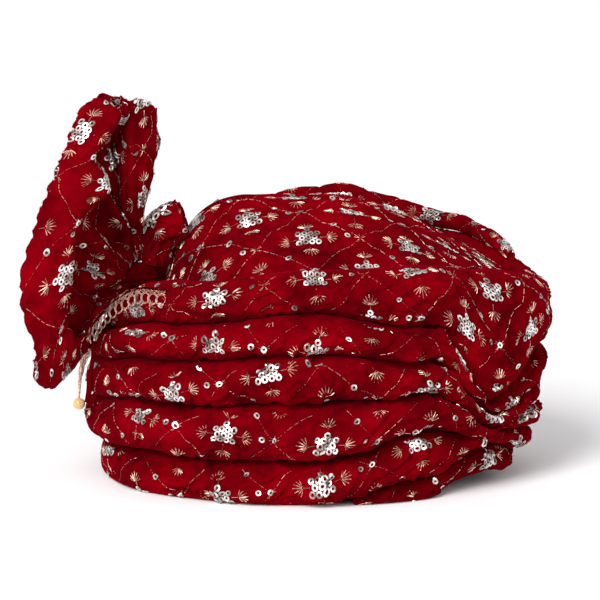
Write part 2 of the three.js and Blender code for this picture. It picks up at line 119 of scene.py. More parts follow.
def placeAt(angle, reach, height):
    turned = np.radians(angle)
    return np.stack(np.broadcast_arrays(-np.cos(turned) * reach, -np.sin(turned) * reach, height), -1)


# Smooth noise between about -1 and 1: a few waves in seeded directions
def softNoise(x, y, seed, waves=7):
    random = np.random.RandomState(seed)
    total = np.zeros(np.broadcast(x, y).shape)
    for _ in range(waves):
        turn = random.uniform(0, math.pi)
        pace = random.uniform(0.6, 1.7) * 2 * math.pi
        total = total + np.sin(pace * (x * math.cos(turn) + y * math.sin(turn)) + random.uniform(0, 7))
    return total / math.sqrt(waves) * 0.8


# Narrow grooves between broad swells, one for each whole step of x
def grooves(x, sharpness=4):
    return (1 - np.abs(np.sin(math.pi * x))) ** sharpness


def smoothStep(low, high, x):
    share = np.clip((x - low) / (high - low), 0, 1)
    return share * share * (3 - 2 * share)


# Vectors brought to a length of one
def unit(vectors):
    return vectors / np.maximum(np.linalg.norm(vectors, axis=-1, keepdims=True), 1e-9)


def degreesFrom(place, angle):
    return np.abs(np.mod(angle - place + 180, 360) - 180)


def gridNormals(points, closedRows, closedColumns):
    def gradient(axis, closed):
        if closed:
            return np.roll(points, -1, axis) - np.roll(points, 1, axis)
        return np.gradient(points, axis=axis)
    return unit(np.cross(gradient(0, closedRows), gradient(1, closedColumns)))


def gridFaces(rows, columns, closedRows=False, closedColumns=False, start=0):
    faces = []
    for i in range(rows if closedRows else rows - 1):
        for j in range(columns if closedColumns else columns - 1):
            a, b = i * columns + j, i * columns + (j + 1) % columns
            c, d = ((i + 1) % rows) * columns + (j + 1) % columns, ((i + 1) % rows) * columns + j
            faces.append((start + a, start + b, start + c, start + d))
    return faces


# Closes both ends of a tube of rings with a fan of faces
def addCaps(points, faces, ring):
    rows, sides = ring.shape[:2]
    for row, order in ((0, 1), (rows - 1, -1)):
        points.append(ring[row].mean(axis=0))
        for j in range(sides)[::order]:
            faces.append((row * sides + j, row * sides + (j + order) % sides, len(points) - 1))


# A closed ball from a grid that runs from pole to pole, with a point at each pole
def closedBall(shell, pole):
    rows, sides = shell.shape[:2]
    points = [*shell.reshape(-1, 3), np.array([0, 0, pole]), np.array([0, 0, -pole])]
    faces = gridFaces(rows, sides, False, True)
    last = (rows - 1) * sides
    for j in range(sides):
        k = (j + 1) % sides
        faces += [(k, j, len(points) - 2), (last + j, last + k, len(points) - 1)]
    return np.array(points), faces


# A thin closed sheet from its outer and inner grid: points, faces, and how many of them one side has
def thinSheet(outer, inner):
    rows, columns = outer.shape[:2]
    shift = rows * columns
    faces = gridFaces(rows, columns)
    count = len(faces)
    faces += [tuple(reversed(face)) for face in gridFaces(rows, columns, start=shift)]
    loop = [*range(columns), *range(2 * columns - 1, shift, columns), *range(shift - 2, shift - columns - 1, -1),
            *range(shift - 2 * columns, 0, -columns)]
    faces += [(b, a, shift + a, shift + b) for a, b in zip(loop, loop[1:] + loop[:1])]
    return np.concatenate([outer.reshape(-1, 3), inner.reshape(-1, 3)]), faces, count


def gridArea(grid):
    return np.linalg.norm(np.cross(np.diff(grid, axis=0)[:, :-1], np.diff(grid, axis=1)[:-1]), axis=-1).sum()


def newObject(name, data):
    made = bpy.data.objects.new(name, data)
    scene.collection.objects.link(made)
    return made


# Points round a circle, as angles in radians
def circle(count):
    return np.linspace(0, 2 * math.pi, count, endpoint=False)


# Places on a cloth's flat map, in the order of its grid's points
def onFlatMap(along, across):
    return np.stack(np.broadcast_arrays(along, across), -1).reshape(-1, 2) + flatStart


# A mesh object from points in millimetres. The first flatCount faces get a cloth map in metres, named flat,
# and the others lie outside it; around is the length of a closed strip.
def makePiece(name, points, faces, material, flat=None, flatCount=0, around=0):
    mesh = bpy.data.meshes.new(name)
    points = np.asarray(points, dtype=float)
    mesh.from_pydata((points * mm + np.array(axisPoint)).tolist(), [], faces)
    if flat is not None:
        corners = np.full((len(mesh.loops), 2), -1000.0)
        place = 0
        for index, face in enumerate(faces):
            if index < flatCount:
                spots = flat[list(face)]
                if around:
                    spots[:, 0] += np.where(spots[:, 0].max() - spots[:, 0] > around / 2, around, 0)
                corners[place:place + len(face)] = spots
            place += len(face)
        layer = mesh.uv_layers.new(name="flat")
        layer.data.foreach_set("uv", (corners * mm).ravel())
    piece = newObject(name, mesh)
    mesh.materials.append(material)
    mesh.shade_smooth()
    turnOutwards(mesh)
    return piece


def turnOutwards(mesh):
    work = bmesh.new()
    work.from_mesh(mesh)
    if work.calc_volume(signed=True) < 0:
        bmesh.ops.reverse_faces(work, faces=work.faces)
        work.to_mesh(mesh)
    work.free()


def cumulative(points, axis):
    steps = np.linalg.norm(np.diff(points, axis=axis), axis=-1)
    start = np.zeros_like(np.take(steps, [0], axis=axis))
    return np.concatenate([start, np.cumsum(steps, axis=axis)], axis=axis)


# A smooth curve through points, with even steps between each two of them
def smoothCurve(points, splits):
    points = np.asarray(points, dtype=float)
    padded = np.concatenate([[2 * points[0] - points[1]], points, [2 * points[-1] - points[-2]]])
    curve = []
    for i in range(len(points) - 1):
        a, b, c, d = padded[i:i + 4]
        for k in range(splits):
            t = k / splits
            curve.append(0.5 * (2 * b + (c - a) * t + (2 * a - 5 * b + 4 * c - d) * t ** 2
                                + (3 * b - a - 3 * c + d) * t ** 3))
    curve.append(points[-1])
    return np.array(curve)


# Materials

def newMaterial(name):
    material = bpy.data.materials.new(name)
    material.use_nodes = True
    return material, material.node_tree, material.node_tree.nodes["Principled BSDF"]


# Gives a node's inputs their values, or links them to other nodes' outputs
def setInputs(tree, node, values):
    for key, value in values.items():
        if isinstance(value, bpy.types.NodeSocket):
            tree.links.new(value, node.inputs[key])
        else:
            node.inputs[key].default_value = value


def addNode(tree, kind, values, **settings):
    node = tree.nodes.new(kind)
    for key, value in settings.items():
        setattr(node, key, value)
    setInputs(tree, node, values)
    return node


def addNoise(tree, place, values):
    return addNode(tree, "ShaderNodeTexNoise", {"Vector": place, **values}).outputs["Fac"]


def addRamp(tree, share, darkAt, dark, lightAt, light):
    ramp = addNode(tree, "ShaderNodeValToRGB", {"Fac": share})
    for stop, position, tone in zip(ramp.color_ramp.elements, (darkAt, lightAt), (dark, light)):
        stop.position, stop.color = position, tone
    return ramp.outputs["Color"]


def addRoughness(tree, share, low, high):
    return addNode(tree, "ShaderNodeMapRange", {"Value": share, "To Min": low, "To Max": high}).outputs["Result"]


velvetLook = {
    "shade": (0.03, 0.0, 0.0012), "shadeAt": 0.38, "lit": (0.19, 0.0, 0.0032), "litAt": 0.86,
    "brushed": {"Scale": 34, "Detail": 5, "Roughness": 0.6},       # where a hand has brushed the pile one way
    "crush": {"Scale": 160, "Detail": 6}, "crushShare": 0.35, "crushBump": {"Strength": 0.5, "Distance": 0.0006},
    "pile": {"Scale": 900, "Detail": 3}, "pileBump": {"Strength": 0.35, "Distance": 0.0003},
    "smooth": 0.68, "rough": 0.94,
    "surface": {"Sheen Weight": 0.16, "Sheen Roughness": 0.4, "Sheen Tint": (1.0, 0.015, 0.06, 1),
                "Specular IOR Level": 0.0},
}


def velvet(name, tone=1.0):
    look = velvetLook
    material, tree, shader = newMaterial(name)
    place = addNode(tree, "ShaderNodeTexCoord", {}).outputs["Object"]
    brushed, crush, pile = [addNoise(tree, place, look[grain]) for grain in ("brushed", "crush", "pile")]
    blend = addNode(tree, "ShaderNodeMath", {0: crush, 1: look["crushShare"], 2: brushed}, operation="MULTIPLY_ADD")
    shade, lit = [[c * tone for c in look[end]] + [1] for end in ("shade", "lit")]
    coarse = addNode(tree, "ShaderNodeBump", {"Height": crush, **look["crushBump"]})
    fine = addNode(tree, "ShaderNodeBump", {"Height": pile, "Normal": coarse.outputs["Normal"], **look["pileBump"]})
    setInputs(tree, shader, {
        "Base Color": addRamp(tree, blend.outputs[0], look["shadeAt"], shade, look["litAt"], lit),
        "Roughness": addRoughness(tree, brushed, look["smooth"], look["rough"]),
        "Normal": fine.outputs["Normal"], **look["surface"],
    })
    return material


polishLook = {"darkAt": 0.4, "lightAt": 0.6, "smooth": 0.7, "rough": 1.4,
              "bump": {"Strength": 0.25, "Distance": 0.0002}}


# A metal or bead finish with a slight unevenness of tone and polish; on the sequins the spread from the dark to the
# light tone is painted glint
def polished(name, dark, light, metallic, roughness, scale):
    look = polishLook
    material, tree, shader = newMaterial(name)
    place = addNode(tree, "ShaderNodeTexCoord", {}).outputs["Object"]
    patches = addNoise(tree, place, {"Scale": scale, "Detail": 2})
    bump = addNode(tree, "ShaderNodeBump", {"Height": patches, **look["bump"]})
    setInputs(tree, shader, {
        "Base Color": addRamp(tree, patches, look["darkAt"], dark, look["lightAt"], light),
        "Roughness": addRoughness(tree, patches, roughness * look["smooth"], roughness * look["rough"]),
        "Normal": bump.outputs["Normal"], "Metallic": metallic,
    })
    return material


print("mixing the materials")
velvetCloth = velvet("deep_red_velvet")
# A copy of the velvet at three quarters of its tone: painted shade, for the knot, the back tuck and the band's tail
velvetPaintedShade = velvet("shade_darkened_velvet", 0.75)
liningCloth = velvet("net_ground", 0.22)
goldThread = polished("gold_thread", (0.3, 0.13, 0.09, 1), (0.84, 0.64, 0.5, 1), 0.6, 0.38, 420)
# The sequins' dull and bright tones, mixed in patches, are painted glint: bright where a sequin would catch the lamp,
# dull where it would not
silverSequin = polished("silver_sequin_painted_glint", (0.26, 0.21, 0.18, 1), (0.98, 0.96, 0.93, 1), 0.72, 0.28, 190)
laceThread = polished("lace_thread", (0.5, 0.28, 0.22, 1), (0.92, 0.7, 0.6, 1), 0.5, 0.38, 700)
netThread = polished("net_thread", (0.09, 0.02, 0.015, 1), (0.42, 0.22, 0.16, 1), 0.4, 0.45, 500)
pearlGloss = polished("warm_pearl", (0.72, 0.45, 0.18, 1), (0.95, 0.76, 0.45, 1), 0.1, 0.2, 120)


# Crown

crownForm = {
    "height": 167, "topFront": 92, "topBack": 120, "topSide": 88, "tuck": 5,
    "steepFront": 6.6, "steepBack": 2.6, "arch": 1.8, "pleats": 4.5, "pleatDepth": 2.6,
    "hollowDepth": 7, "hollowReach": 22, "hollowAhead": 76, "hollowAside": 50,
    "rows": 150, "columns": 170, "wallShares": (0.6, 0.3, 0),
    "wander": (0.018, 90, 60, 5), "swell": (0.9, 70, 26, 6), "crumple": (0.35, 24, 12, 7),
    "tuckAt": 0.1, "tuckSharp": 2.2, "leanAt": 0.6, "lean": 0.45,
}


def crownEdge(angle):
    return valleyHeight(topValley, angle) - crownForm["tuck"]


def wallReach(angle, height):
    share = np.maximum(0, height / crownEdge(angle))
    foot = planReach(angle, hollowLength / 2 + crownWall, hollowWidth / 2 + crownWall, hollowLength / 2 + crownWall)
    top = planReach(angle, crownForm["topFront"], crownForm["topSide"], crownForm["topBack"])
    return mix(foot, top, share)


# Soft noise by its strength, its length and width in mm, and its seed
def noiseOver(x, y, kind):
    strength, length, width, seed = kind
    return strength * softNoise(x / length, y / width, seed)


# The crown's height at the rib that starts at an angle; pleat goes from -1, near, to 1, far
def crownTop(angle, pleat, x, y, detail):
    form = crownForm
    forward = np.cos(np.radians(angle))
    edge = crownEdge(np.where(pleat < 0, angle, -angle))
    end = np.where(forward > 0, crownEdge(0.0), crownEdge(180.0))
    steep = np.where(forward > 0, form["steepFront"], form["steepBack"])
    spine = form["height"] - (form["height"] - end) * np.abs(forward) ** steep
    arch = spine - (spine - edge) * np.abs(pleat) ** form["arch"]
    fade = np.minimum(1, 3 * (1 - np.abs(pleat))) * np.sin(np.radians(angle))
    away = np.hypot(x + form["hollowAhead"], y + form["hollowAside"])
    dent = form["hollowDepth"] * np.exp(-(away / form["hollowReach"]) ** 2)
    height = arch - dent * (1 - np.abs(pleat))
    if not detail:
        return height + form["pleatDepth"] * (np.cos(4 * math.pi * pleat) - 1) / 2 * fade
    wander = pleat + noiseOver(x, y, form["wander"])
    tuck = grooves(form["pleats"] * wander + form["tuckAt"], form["tuckSharp"])
    slope = np.mod(form["pleats"] * wander + form["leanAt"], 1)      # each pleat leans over the next one
    swell = noiseOver(x, y, form["swell"]) + noiseOver(x, y, form["crumple"])
    return height + fade * (form["pleatDepth"] * (form["lean"] * slope - tuck) + swell)


# The crown's dome and wall as one surface; inward is the distance to the inside of the cloth
def crownSurface(inward, detail):
    rows, columns = crownForm["rows"], crownForm["columns"]
    angle = np.linspace(0, 180, rows + 1)[1:-1, None]
    pleat = np.linspace(-1, 1, columns + 1)[None, :]
    reach = wallReach(angle, crownEdge(angle)) - inward
    near = placeAt(angle, reach, 0)
    x = near[..., 0] + 0 * pleat
    y = -near[..., 1] * pleat
    dome = np.stack([x, y, crownTop(angle, pleat, x, y, detail) - inward], -1)
    ends = [placeAt(a, wallReach(a, crownEdge(a)) - inward, crownEdge(a) - inward) for a in (0.0, 180.0)]
    count = (rows - 1) * (columns + 1)
    points = [*dome.reshape(-1, 3), *ends]
    faces = gridFaces(rows - 1, columns + 1)
    last = (rows - 2) * (columns + 1)
    for j in range(columns):
        faces.append((count, j + 1, j))
        faces.append((count + 1, last + j, last + j + 1))
    flat = np.zeros((count + 2, 2))
    along = cumulative(dome, 0)[:, columns // 2]
    across = cumulative(dome, 1)
    flat[:count, 0] = (along[:, None] + 0 * pleat).ravel()
    flat[:count, 1] = (across - across[:, columns // 2][:, None]).ravel()
    flat[count] = (-2, 0)
    flat[count + 1] = (along[-1] + 2, 0)
    flat += flatStart
    domeFaces = len(faces)
    near = [i * (columns + 1) for i in range(rows - 1)]
    far = [i * (columns + 1) + columns for i in range(rows - 1)]
    edge = [count, *near, count + 1, *reversed(far)]
    around = np.linspace(0, 360, len(edge), endpoint=False)
    previous = edge
    for share in crownForm["wallShares"]:
        height = mix(valleyHeight(0, around), crownEdge(around), share)
        ring = placeAt(around, wallReach(around, height) - inward, height)
        start = len(points)
        points.extend(ring)
        row = list(range(start, start + len(edge)))
        for i in range(len(edge)):
            k = (i + 1) % len(edge)
            faces.append((previous[i], previous[k], row[k], row[i]))
        previous = row
    flat = np.concatenate([flat, np.zeros((len(points) - len(flat), 2))])
    return points, faces, previous, flat, domeFaces


def makeCrown():
    points, faces, rim, flat, domeFaces = crownSurface(0, True)
    inside, insideFaces, insideRim, _, _ = crownSurface(crownWall, False)
    shift = len(points)
    faces = faces + [tuple(shift + v for v in reversed(face)) for face in insideFaces]
    for i in range(len(rim)):
        k = (i + 1) % len(rim)
        faces.append((rim[i], rim[k], shift + insideRim[k], shift + insideRim[i]))
    flat = np.concatenate([flat, np.zeros((len(inside), 2))])
    return makePiece("crown_cloth", points + inside, faces, velvetCloth, flat, domeFaces)


# Wound rolls

rollForm = {
    "fullness": 0.55, "crease": 1.3, "creases": 9, "gather": 152, "gatherWidth": 13, "restFlat": 1.2,
    "around": 440, "section": 44, "swell": 1.4, "fold": 3.0, "slant": 0.6, "plain": 0.2,
    "frontFullness": 0.2, "frontWidth": 38, "foldWidth": 26, "easedWidth": 18, "seamWidth": 14, "edgeShare": 0.22,
    "bandInner": 35, "bandOuter": 55, "underBand": 0.8, "floorGap": 3,
    "foldSeed": 40, "seedStep": 9, "easedShare": 0.7, "innerShares": (0.75, 0.5, 0.25), "plainBelow": 3,
}
rolls = [
    {"name": "back_tuck", "front": 0.93, "side": 0.9, "back": 0.87, "drawn": 0.04},
    {"name": "roll_5", "front": 0.945, "side": 0.948, "back": 0.925, "drawn": 0.05},
    {"name": "roll_4", "front": 1, "side": 1, "back": 0.98, "drawn": 0.05},
    {"name": "roll_3", "front": 0.992, "side": 0.991, "back": 0.992, "drawn": 0.05},
    {"name": "roll_2", "front": 0.968, "side": 0.957, "back": 0.994, "drawn": 0.05},
    {"name": "roll_1", "front": 0.905, "side": 0.904, "back": 1, "drawn": 0},
]


# Reach and height of a roll's section at angles; turn goes from 0, below, to pi, above
def rollSection(index, angle, turn):
    roll, form = rolls[index], rollForm
    lowest = valleyHeight(index, angle)
    low = np.where(lowest < form["restFlat"], lowest - form["restFlat"], lowest + fitGap / 2)
    high = valleyHeight(index + 1, angle) - fitGap / 2
    pull = np.exp(-(degreesFrom(form["gather"], angle) / form["gatherWidth"]) ** 2)
    reach = planReach(angle, roll["front"] * frontReach, roll["side"] * sideReach, roll["back"] * backReach)
    height = np.maximum(0, mix(low, high, (1 - np.cos(turn)) / 2))
    front = np.exp(-(degreesFrom(0, angle) / form["frontWidth"]) ** 2)      # flatter outside in front
    fullness = np.sin(np.clip(turn, 0, math.pi)) ** mix(form["fullness"], form["frontFullness"], front)
    crease = form["crease"] * np.sin(np.radians(angle * form["creases"]) + index * 2 + turn * 1.5)
    outside = reach * (1 - roll["drawn"] * pull) + crease
    return mix(wallReach(angle, height) + fitGap, outside, fullness), height


# Folds that rise slowly and drop sharply, once for each whole step of x
def leaningFolds(x):
    lean = np.mod(x, 1)
    return lean - smoothStep(0.8, 1, lean)


# Soft swells, slanting folds and long folds of wound cloth, in millimetres out of the surface
def woundFolds(along, up, seed, gathered):
    slant = rollForm["slant"]
    slanted = along * slant - up * (1 - slant * 0.3)
    swell = 1.0 * softNoise(along / 75, up / 34, seed) + 0.45 * softNoise(along / 26, up / 17, seed + 1)
    wide = smoothStep(-0.45, 0.35, softNoise(along / 50, up / 36, seed + 2))
    narrow = smoothStep(-0.25, 0.4, softNoise(along / 34, up / 25, seed + 3))
    warp = 0.42 * softNoise(along / 46, up / 30, seed + 4)
    folds = wide * leaningFolds(slanted / 13 + warp) + 0.55 * narrow * leaningFolds(slanted / 6.5 + 1.7 * warp)
    lengthwise = grooves(up / 24 + 0.22 * softNoise(along / 80, up / 60, seed + 5) + along * 0.0035, 6)
    drawn = gathered * grooves(up / 5.5 + 0.5 * warp, 3)
    return rollForm["swell"] * swell + rollForm["fold"] * (folds - 0.45) - 1.2 * lengthwise * wide - 0.8 * drawn


settleForm = {
    "stride": 2, "frames": 16, "pressure": 4.0, "slack": 0.03, "mass": 0.12, "tension": 18, "bending": 0.04,
    "cap": 2.6, "seamColumns": 2,
}


# Inflates a coarser copy of a roll's outside with Cloth, its seams pinned, and gives back how far its points move
def settledCloth(outer):
    form = settleForm
    coarse = outer[::form["stride"], ::form["stride"]]
    rows, columns = coarse.shape[:2]
    mesh = bpy.data.meshes.new("settling")
    mesh.from_pydata((coarse.reshape(-1, 3) * mm).tolist(), [], gridFaces(rows, columns, True, False))
    piece = newObject("settling", mesh)
    turnOutwards(mesh)
    edge = form["seamColumns"]
    pinned = [k for k in range(rows * columns) if k % columns < edge or k % columns >= columns - edge]
    piece.vertex_groups.new(name="seams").add(pinned, 1.0, "REPLACE")
    cloth = piece.modifiers.new("cloth", "CLOTH")
    for key, value in {
        "vertex_group_mass": "seams", "mass": form["mass"], "tension_stiffness": form["tension"],
        "compression_stiffness": form["tension"], "shear_stiffness": form["tension"] / 2,
        "bending_stiffness": form["bending"], "use_pressure": True, "uniform_pressure_force": form["pressure"],
        "shrink_min": -form["slack"],
    }.items():
        setattr(cloth.settings, key, value)
    cloth.settings.effector_weights.gravity = 0
    cloth.point_cache.frame_start = 1
    cloth.point_cache.frame_end = form["frames"]
    for step in range(1, form["frames"] + 1):
        scene.frame_set(step)
    evaluated = piece.evaluated_get(bpy.context.evaluated_depsgraph_get())
    spots = np.empty(rows * columns * 3)
    evaluated.data.vertices.foreach_get("co", spots)
    bpy.data.objects.remove(piece)
    bpy.data.meshes.remove(mesh)
    scene.frame_set(1)
    moved = spots.reshape(rows, columns, 3) / mm - coarse
    size = np.linalg.norm(moved, axis=-1, keepdims=True)
    moved = moved * np.minimum(1, form["cap"] / np.maximum(size, 1e-6))
    print("   settled: mean move", round(float(size.mean()), 2), "mm, most", round(float(size.max()), 2), "mm")
    loop = np.concatenate([moved, moved[:1]])
    fineRows = np.arange(outer.shape[0]) / form["stride"]
    fineColumns = np.arange(outer.shape[1]) / form["stride"]
    low = np.floor(fineRows).astype(int)
    share = smoothStep(0, 1, fineRows - low)[:, None, None]
    tall = loop[low] * (1 - share) + loop[np.minimum(low + 1, rows)] * share
    left = np.minimum(np.floor(fineColumns).astype(int), columns - 2)
    share = (fineColumns - left)[None, :, None]
    return tall[:, left] * (1 - share) + tall[:, left + 1] * share


def makeRoll(index, first=0.0, last=360.0, closed=True):
    form = rollForm
    name = rolls[index]["name"]
    rows = form["around"] if closed else form["around"] // 4
    angle = np.linspace(first, last, rows, endpoint=not closed)[:, None]
    turn = np.linspace(0, math.pi, form["section"] + 1)[None, :]
    reach, height = rollSection(index, angle, turn)
    outer = placeAt(angle + 0 * turn, reach, height)
    middle = form["section"] // 2
    loop = np.concatenate([outer, outer[:1]]) if closed else outer
    along = cumulative(loop, 0)[:, middle]
    up = cumulative(outer, 1)
    up = up - up[:, middle][:, None]
    apart = degreesFrom(form["gather"], angle)
    fromFront = degreesFrom(0, angle)
    raised = height >= form["floorGap"]
    gathered = np.exp(-(apart / form["foldWidth"]) ** 2) * (index < topValley - 1)
    seam = smoothStep(0, form["seamWidth"], fromFront) if closed else 1
    seed = form["foldSeed"] + form["seedStep"] * index
    push = woundFolds(along[:rows, None] + 0 * up, up, seed, gathered) * seam * raised
    fromEdge = np.minimum(turn, math.pi - turn) / math.pi
    push = push * smoothStep(0, form["edgeShare"], fromEdge)
    underBand = 1 - form["underBand"] * smoothStep(form["bandOuter"], form["bandInner"], fromFront)
    push = np.where(push > 0, push * underBand, push)
    outer = outer + gridNormals(outer, closed, False) * normalSign(outer, closed) * push[..., None]
    if closed:
        eased = underBand * (1 - form["easedShare"] * np.exp(-(apart / form["easedWidth"]) ** 2)) * raised
        outer = outer + settledCloth(outer) * eased[..., None]
    outer[..., 2] = np.maximum(outer[..., 2], 0)
    inner = [outer[:, :1] + (outer[:, -1:] - outer[:, :1]) * share for share in form["innerShares"]]
    ring = np.concatenate([outer, *inner], axis=1)
    columns = ring.shape[1]
    faces = gridFaces(rows, columns, closed, True)
    margin = round(form["section"] * form["plain"])             # no embroidery down in the creases
    last = form["section"] - (form["plainBelow"] if index == topValley - 1 else margin)
    outerFaces = [face for k, face in enumerate(faces) if margin <= k % columns < last]
    otherFaces = [face for k, face in enumerate(faces) if not margin <= k % columns < last]
    points = list(ring.reshape(-1, 3))
    if not closed:
        addCaps(points, otherFaces, ring)
    cloth = np.zeros((rows, columns, 2))
    cloth[..., 0] = along[:rows, None]
    cloth[:, :up.shape[1], 1] = up
    flat = np.zeros((len(points), 2))
    flat[:rows * columns] = cloth.reshape(-1, 2)
    flat += flatStart
    around = along[-1] if closed else 0
    # The back tuck takes the darker velvet: painted shade for its shadowed underside
    finish = velvetPaintedShade if index == 0 else velvetCloth
    return makePiece(name + "_cloth", points, outerFaces + otherFaces, finish, flat, len(outerFaces), around)


# 1 where a grid's normals point away from the turban's upright axis, and -1 where they point to it
def normalSign(grid, closed):
    normals = gridNormals(grid, closed, False)
    middle = grid.shape[1] // 2
    return 1 if (normals[:, middle, :2] * grid[:, middle, :2]).sum() > 0 else -1


# Rolled edge on the far side of the crown

edgeForm = {
    "width": 14, "height": 13, "out": 5, "end": 0.35, "first": 192, "last": 333,
    "rows": 260, "sides": 26, "swell": 1.1, "fold": 1.3,
}


def makeTopRoll():
    form = edgeForm
    share = np.linspace(0, 1, form["rows"])
    angle = mix(form["first"], form["last"], share)
    size = mix(form["end"], 1, np.sin(math.pi * share) ** 0.5)
    reach = wallReach(angle, crownEdge(angle)) + form["out"]
    base = valleyHeight(topValley, angle) + fitGap
    centre = placeAt(angle, reach, base + form["height"] * size / 2)
    across = placeAt(angle, np.ones_like(angle), 0)
    turn = circle(form["sides"])
    ring = centre[:, None] + across[:, None] * (np.cos(turn)[None, :, None] * form["width"] / 2 * size[:, None, None])
    ring[..., 2] += np.sin(turn)[None, :] * form["height"] / 2 * size[:, None]
    along = cumulative(centre, 0)[:, None] + 0 * turn
    up = (turn[None, :] * form["width"] / 2) + 0 * along
    wave = form["swell"] * softNoise(along / 34, np.cos(turn)[None, :] * 0.5, 21)
    folds = form["fold"] * grooves((along + 9 * np.sin(turn)[None, :]) / 17 + 0.4 * softNoise(along / 60, 0, 22), 4)
    above = smoothStep(-0.6, 0.2, np.sin(turn))[None, :]
    fade = np.minimum(1, 8 * share * (1 - share))[:, None]
    ring = ring + unit(ring - centre[:, None]) * ((wave - folds) * above * fade)[..., None]
    return tubePiece("rolled_edge", ring, along, up, velvetCloth)


# A closed tube from rings of points, mapped flat but for one column of faces; its ends are capped
def tubePiece(name, ring, along, up, material):
    rows, sides = ring.shape[:2]
    grid = gridFaces(rows, sides, False, True)
    faces = [face for k, face in enumerate(grid) if k % sides < sides - 1]
    flatCount = len(faces)
    faces += [face for k, face in enumerate(grid) if k % sides == sides - 1]
    points = list(ring.reshape(-1, 3))
    addCaps(points, faces, ring)
    flat = np.zeros((len(points), 2))
    flat[:rows * sides] = onFlatMap(along, up - 10)
    return makePiece(name, points, faces, material, flat, flatCount)


# Knot, fan and rear leaf

knotForm = {"ahead": 103, "aside": 8, "seatAngle": 6, "radius": 11.5, "size": 0.985, "flutes": 15, "flute": 0.28,
            "pinch": 0.22, "pinchWidth": 0.4, "rows": 48, "sides": 96}


def knotCentre():
    height = float(valleyHeight(topValley, knotForm["seatAngle"])) + fitGap + knotForm["radius"]
    return np.array([-knotForm["ahead"], -knotForm["aside"], height])


def makeKnot():
    form = knotForm
    tilt = np.linspace(0, math.pi, form["rows"])[1:-1, None]
    turn = circle(form["sides"])[None, :]
    flute = 1 - form["flute"] * np.sin(tilt) * grooves(turn * form["flutes"] / 2 / math.pi + 0.3 * np.cos(tilt), 2)
    flute = flute + 0.03 * softNoise(np.cos(turn) * 1.2, np.cos(tilt) * 1.5, 31) * np.sin(tilt)
    radius = form["radius"] * flute * (1 - form["pinch"] * np.exp(-(np.cos(tilt) / form["pinchWidth"]) ** 2))
    shell = np.stack([radius * np.sin(tilt) * np.cos(turn), radius * np.sin(tilt) * np.sin(turn),
                      radius * np.cos(tilt) + 0 * turn], -1)
    points, faces = closedBall(shell, form["radius"])
    turned = points[:, [2, 1, 0]] * np.array([-1, 1, 1]) * form["size"]
    # The knot takes the darker velvet: painted shade, as it sits in the fan's shadow
    return makePiece("knot_cloth", turned + knotCentre(), faces, velvetPaintedShade)


fanForm = {
    "reach": 100, "cloth": 1.1, "lift": 6, "foldDepth": 7, "farShift": 0.16, "farSpread": 0.94, "farDrop": 0.93,
    "hollow": 0.34, "hollowAhead": 0.035, "hollowDrop": 0.05, "split": 8, "steps": 22,
    "pleat": 2.4, "pleats": 1.5, "soft": 1.2, "ruffle": 2.08, "crumple": 0.5, "uneven": 1.3, "frayed": 0.5,
    "pleatSway": 0.25, "pleatStart": 0.15, "pleatLost": 0.8, "pleatFade": (0.45, 0.75), "softOver": (0.2, 0.7),
    "ruffles": 2.3, "ruffleSway": 2.2, "ruffleOver": (0.75, 1), "crumpleOver": (0.3, 0.6), "mapAt": 0.75,
}
# Rim and ridge, as shares of the reach from the knot: ahead of it, aside of it and up from above it. Then the
# share of the fold depth by which the fold stands out, and how far the cloth turns back under it
fanFolds = [
    ((0.31, 0.3, -0.46), (0.24, 0.35, -0.2), 0.3, 0),
    ((0.5, 0.42, -0.64), (0.35, 0.5, -0.36), -0.3, 0.3),
    ((0.6, 0.56, -0.58), (0.41, 0.62, -0.28), 0.5, 0.7),
    ((0.6, 0.68, -0.36), (0.41, 0.7, -0.14), -0.4, 0.9),
    ((0.67, 0.76, -0.14), (0.4, 0.74, 0.02), 0.8, 1),
    ((0.67, 0.78, 0.12), (0.38, 0.74, 0.2), -0.7, 1),
    ((0.6, 0.74, 0.32), (0.35, 0.7, 0.34), 0.9, 1),
    ((0.54, 0.66, 0.5), (0.26, 0.62, 0.48), -0.8, 1),
    ((0.475, 0.58, 0.63), (0.18, 0.56, 0.58), 0.9, 1),
    ((0.44, 0.52, 0.75), (0.25, 0.52, 0.72), -0.6, 1),
    ((0.385, 0.42, 0.9), (0.19, 0.44, 0.83), 0.5, 0.9),
    ((0.33, 0.32, 0.99), (0.13, 0.36, 0.93), -0.7, 0.7),
    ((0.21, 0.2, 1.05), (0.08, 0.28, 0.99), 0, 0.5),
    ((0.14, 0.02, 1.03), (0.15, 0.04, 0.74), -1, 0),
    ((0.08, 0.16, 1.03), (0.07, 0.22, 0.77), 1, 0.1),
    ((-0.04, 0.07, 1.02), (-0.03, 0.14, 0.71), 0, 0),
    ((-0.1, -0.05, 0.93), (-0.09, -0.02, 0.67), -0.6, 0),
]


def fanPoint(shares):
    ahead, aside, up = shares
    point = np.array([-ahead, -aside, up]) * fanForm["reach"]
    return point + knotCentre() + np.array([0, 0, fanForm["lift"]])


# The hollow behind a ridge, where the cloth turns back under itself
def foldHollow(ridge, deep):
    ahead, aside, up = ridge
    if deep == 0:
        return ahead * 0.8, aside * 0.8, up * 0.8
    return ahead + deep * fanForm["hollowAhead"], aside - deep * fanForm["hollow"], up - deep * fanForm["hollowDrop"]


# The near folds and, mirrored to the far side, the same folds again
def allFolds():
    def cross(shares):
        ahead, aside, up = shares
        return (ahead, -(aside + fanForm["farShift"]) * fanForm["farSpread"], up * fanForm["farDrop"])
    near = [{"rim": rim, "ridge": ridge, "valley": foldHollow(ridge, deep), "fold": fold}
            for rim, ridge, fold, deep in fanFolds]
    far = [{key: row[key] if key == "fold" else cross(row[key]) for key in row} for row in reversed(near[:-1])]
    return near + far


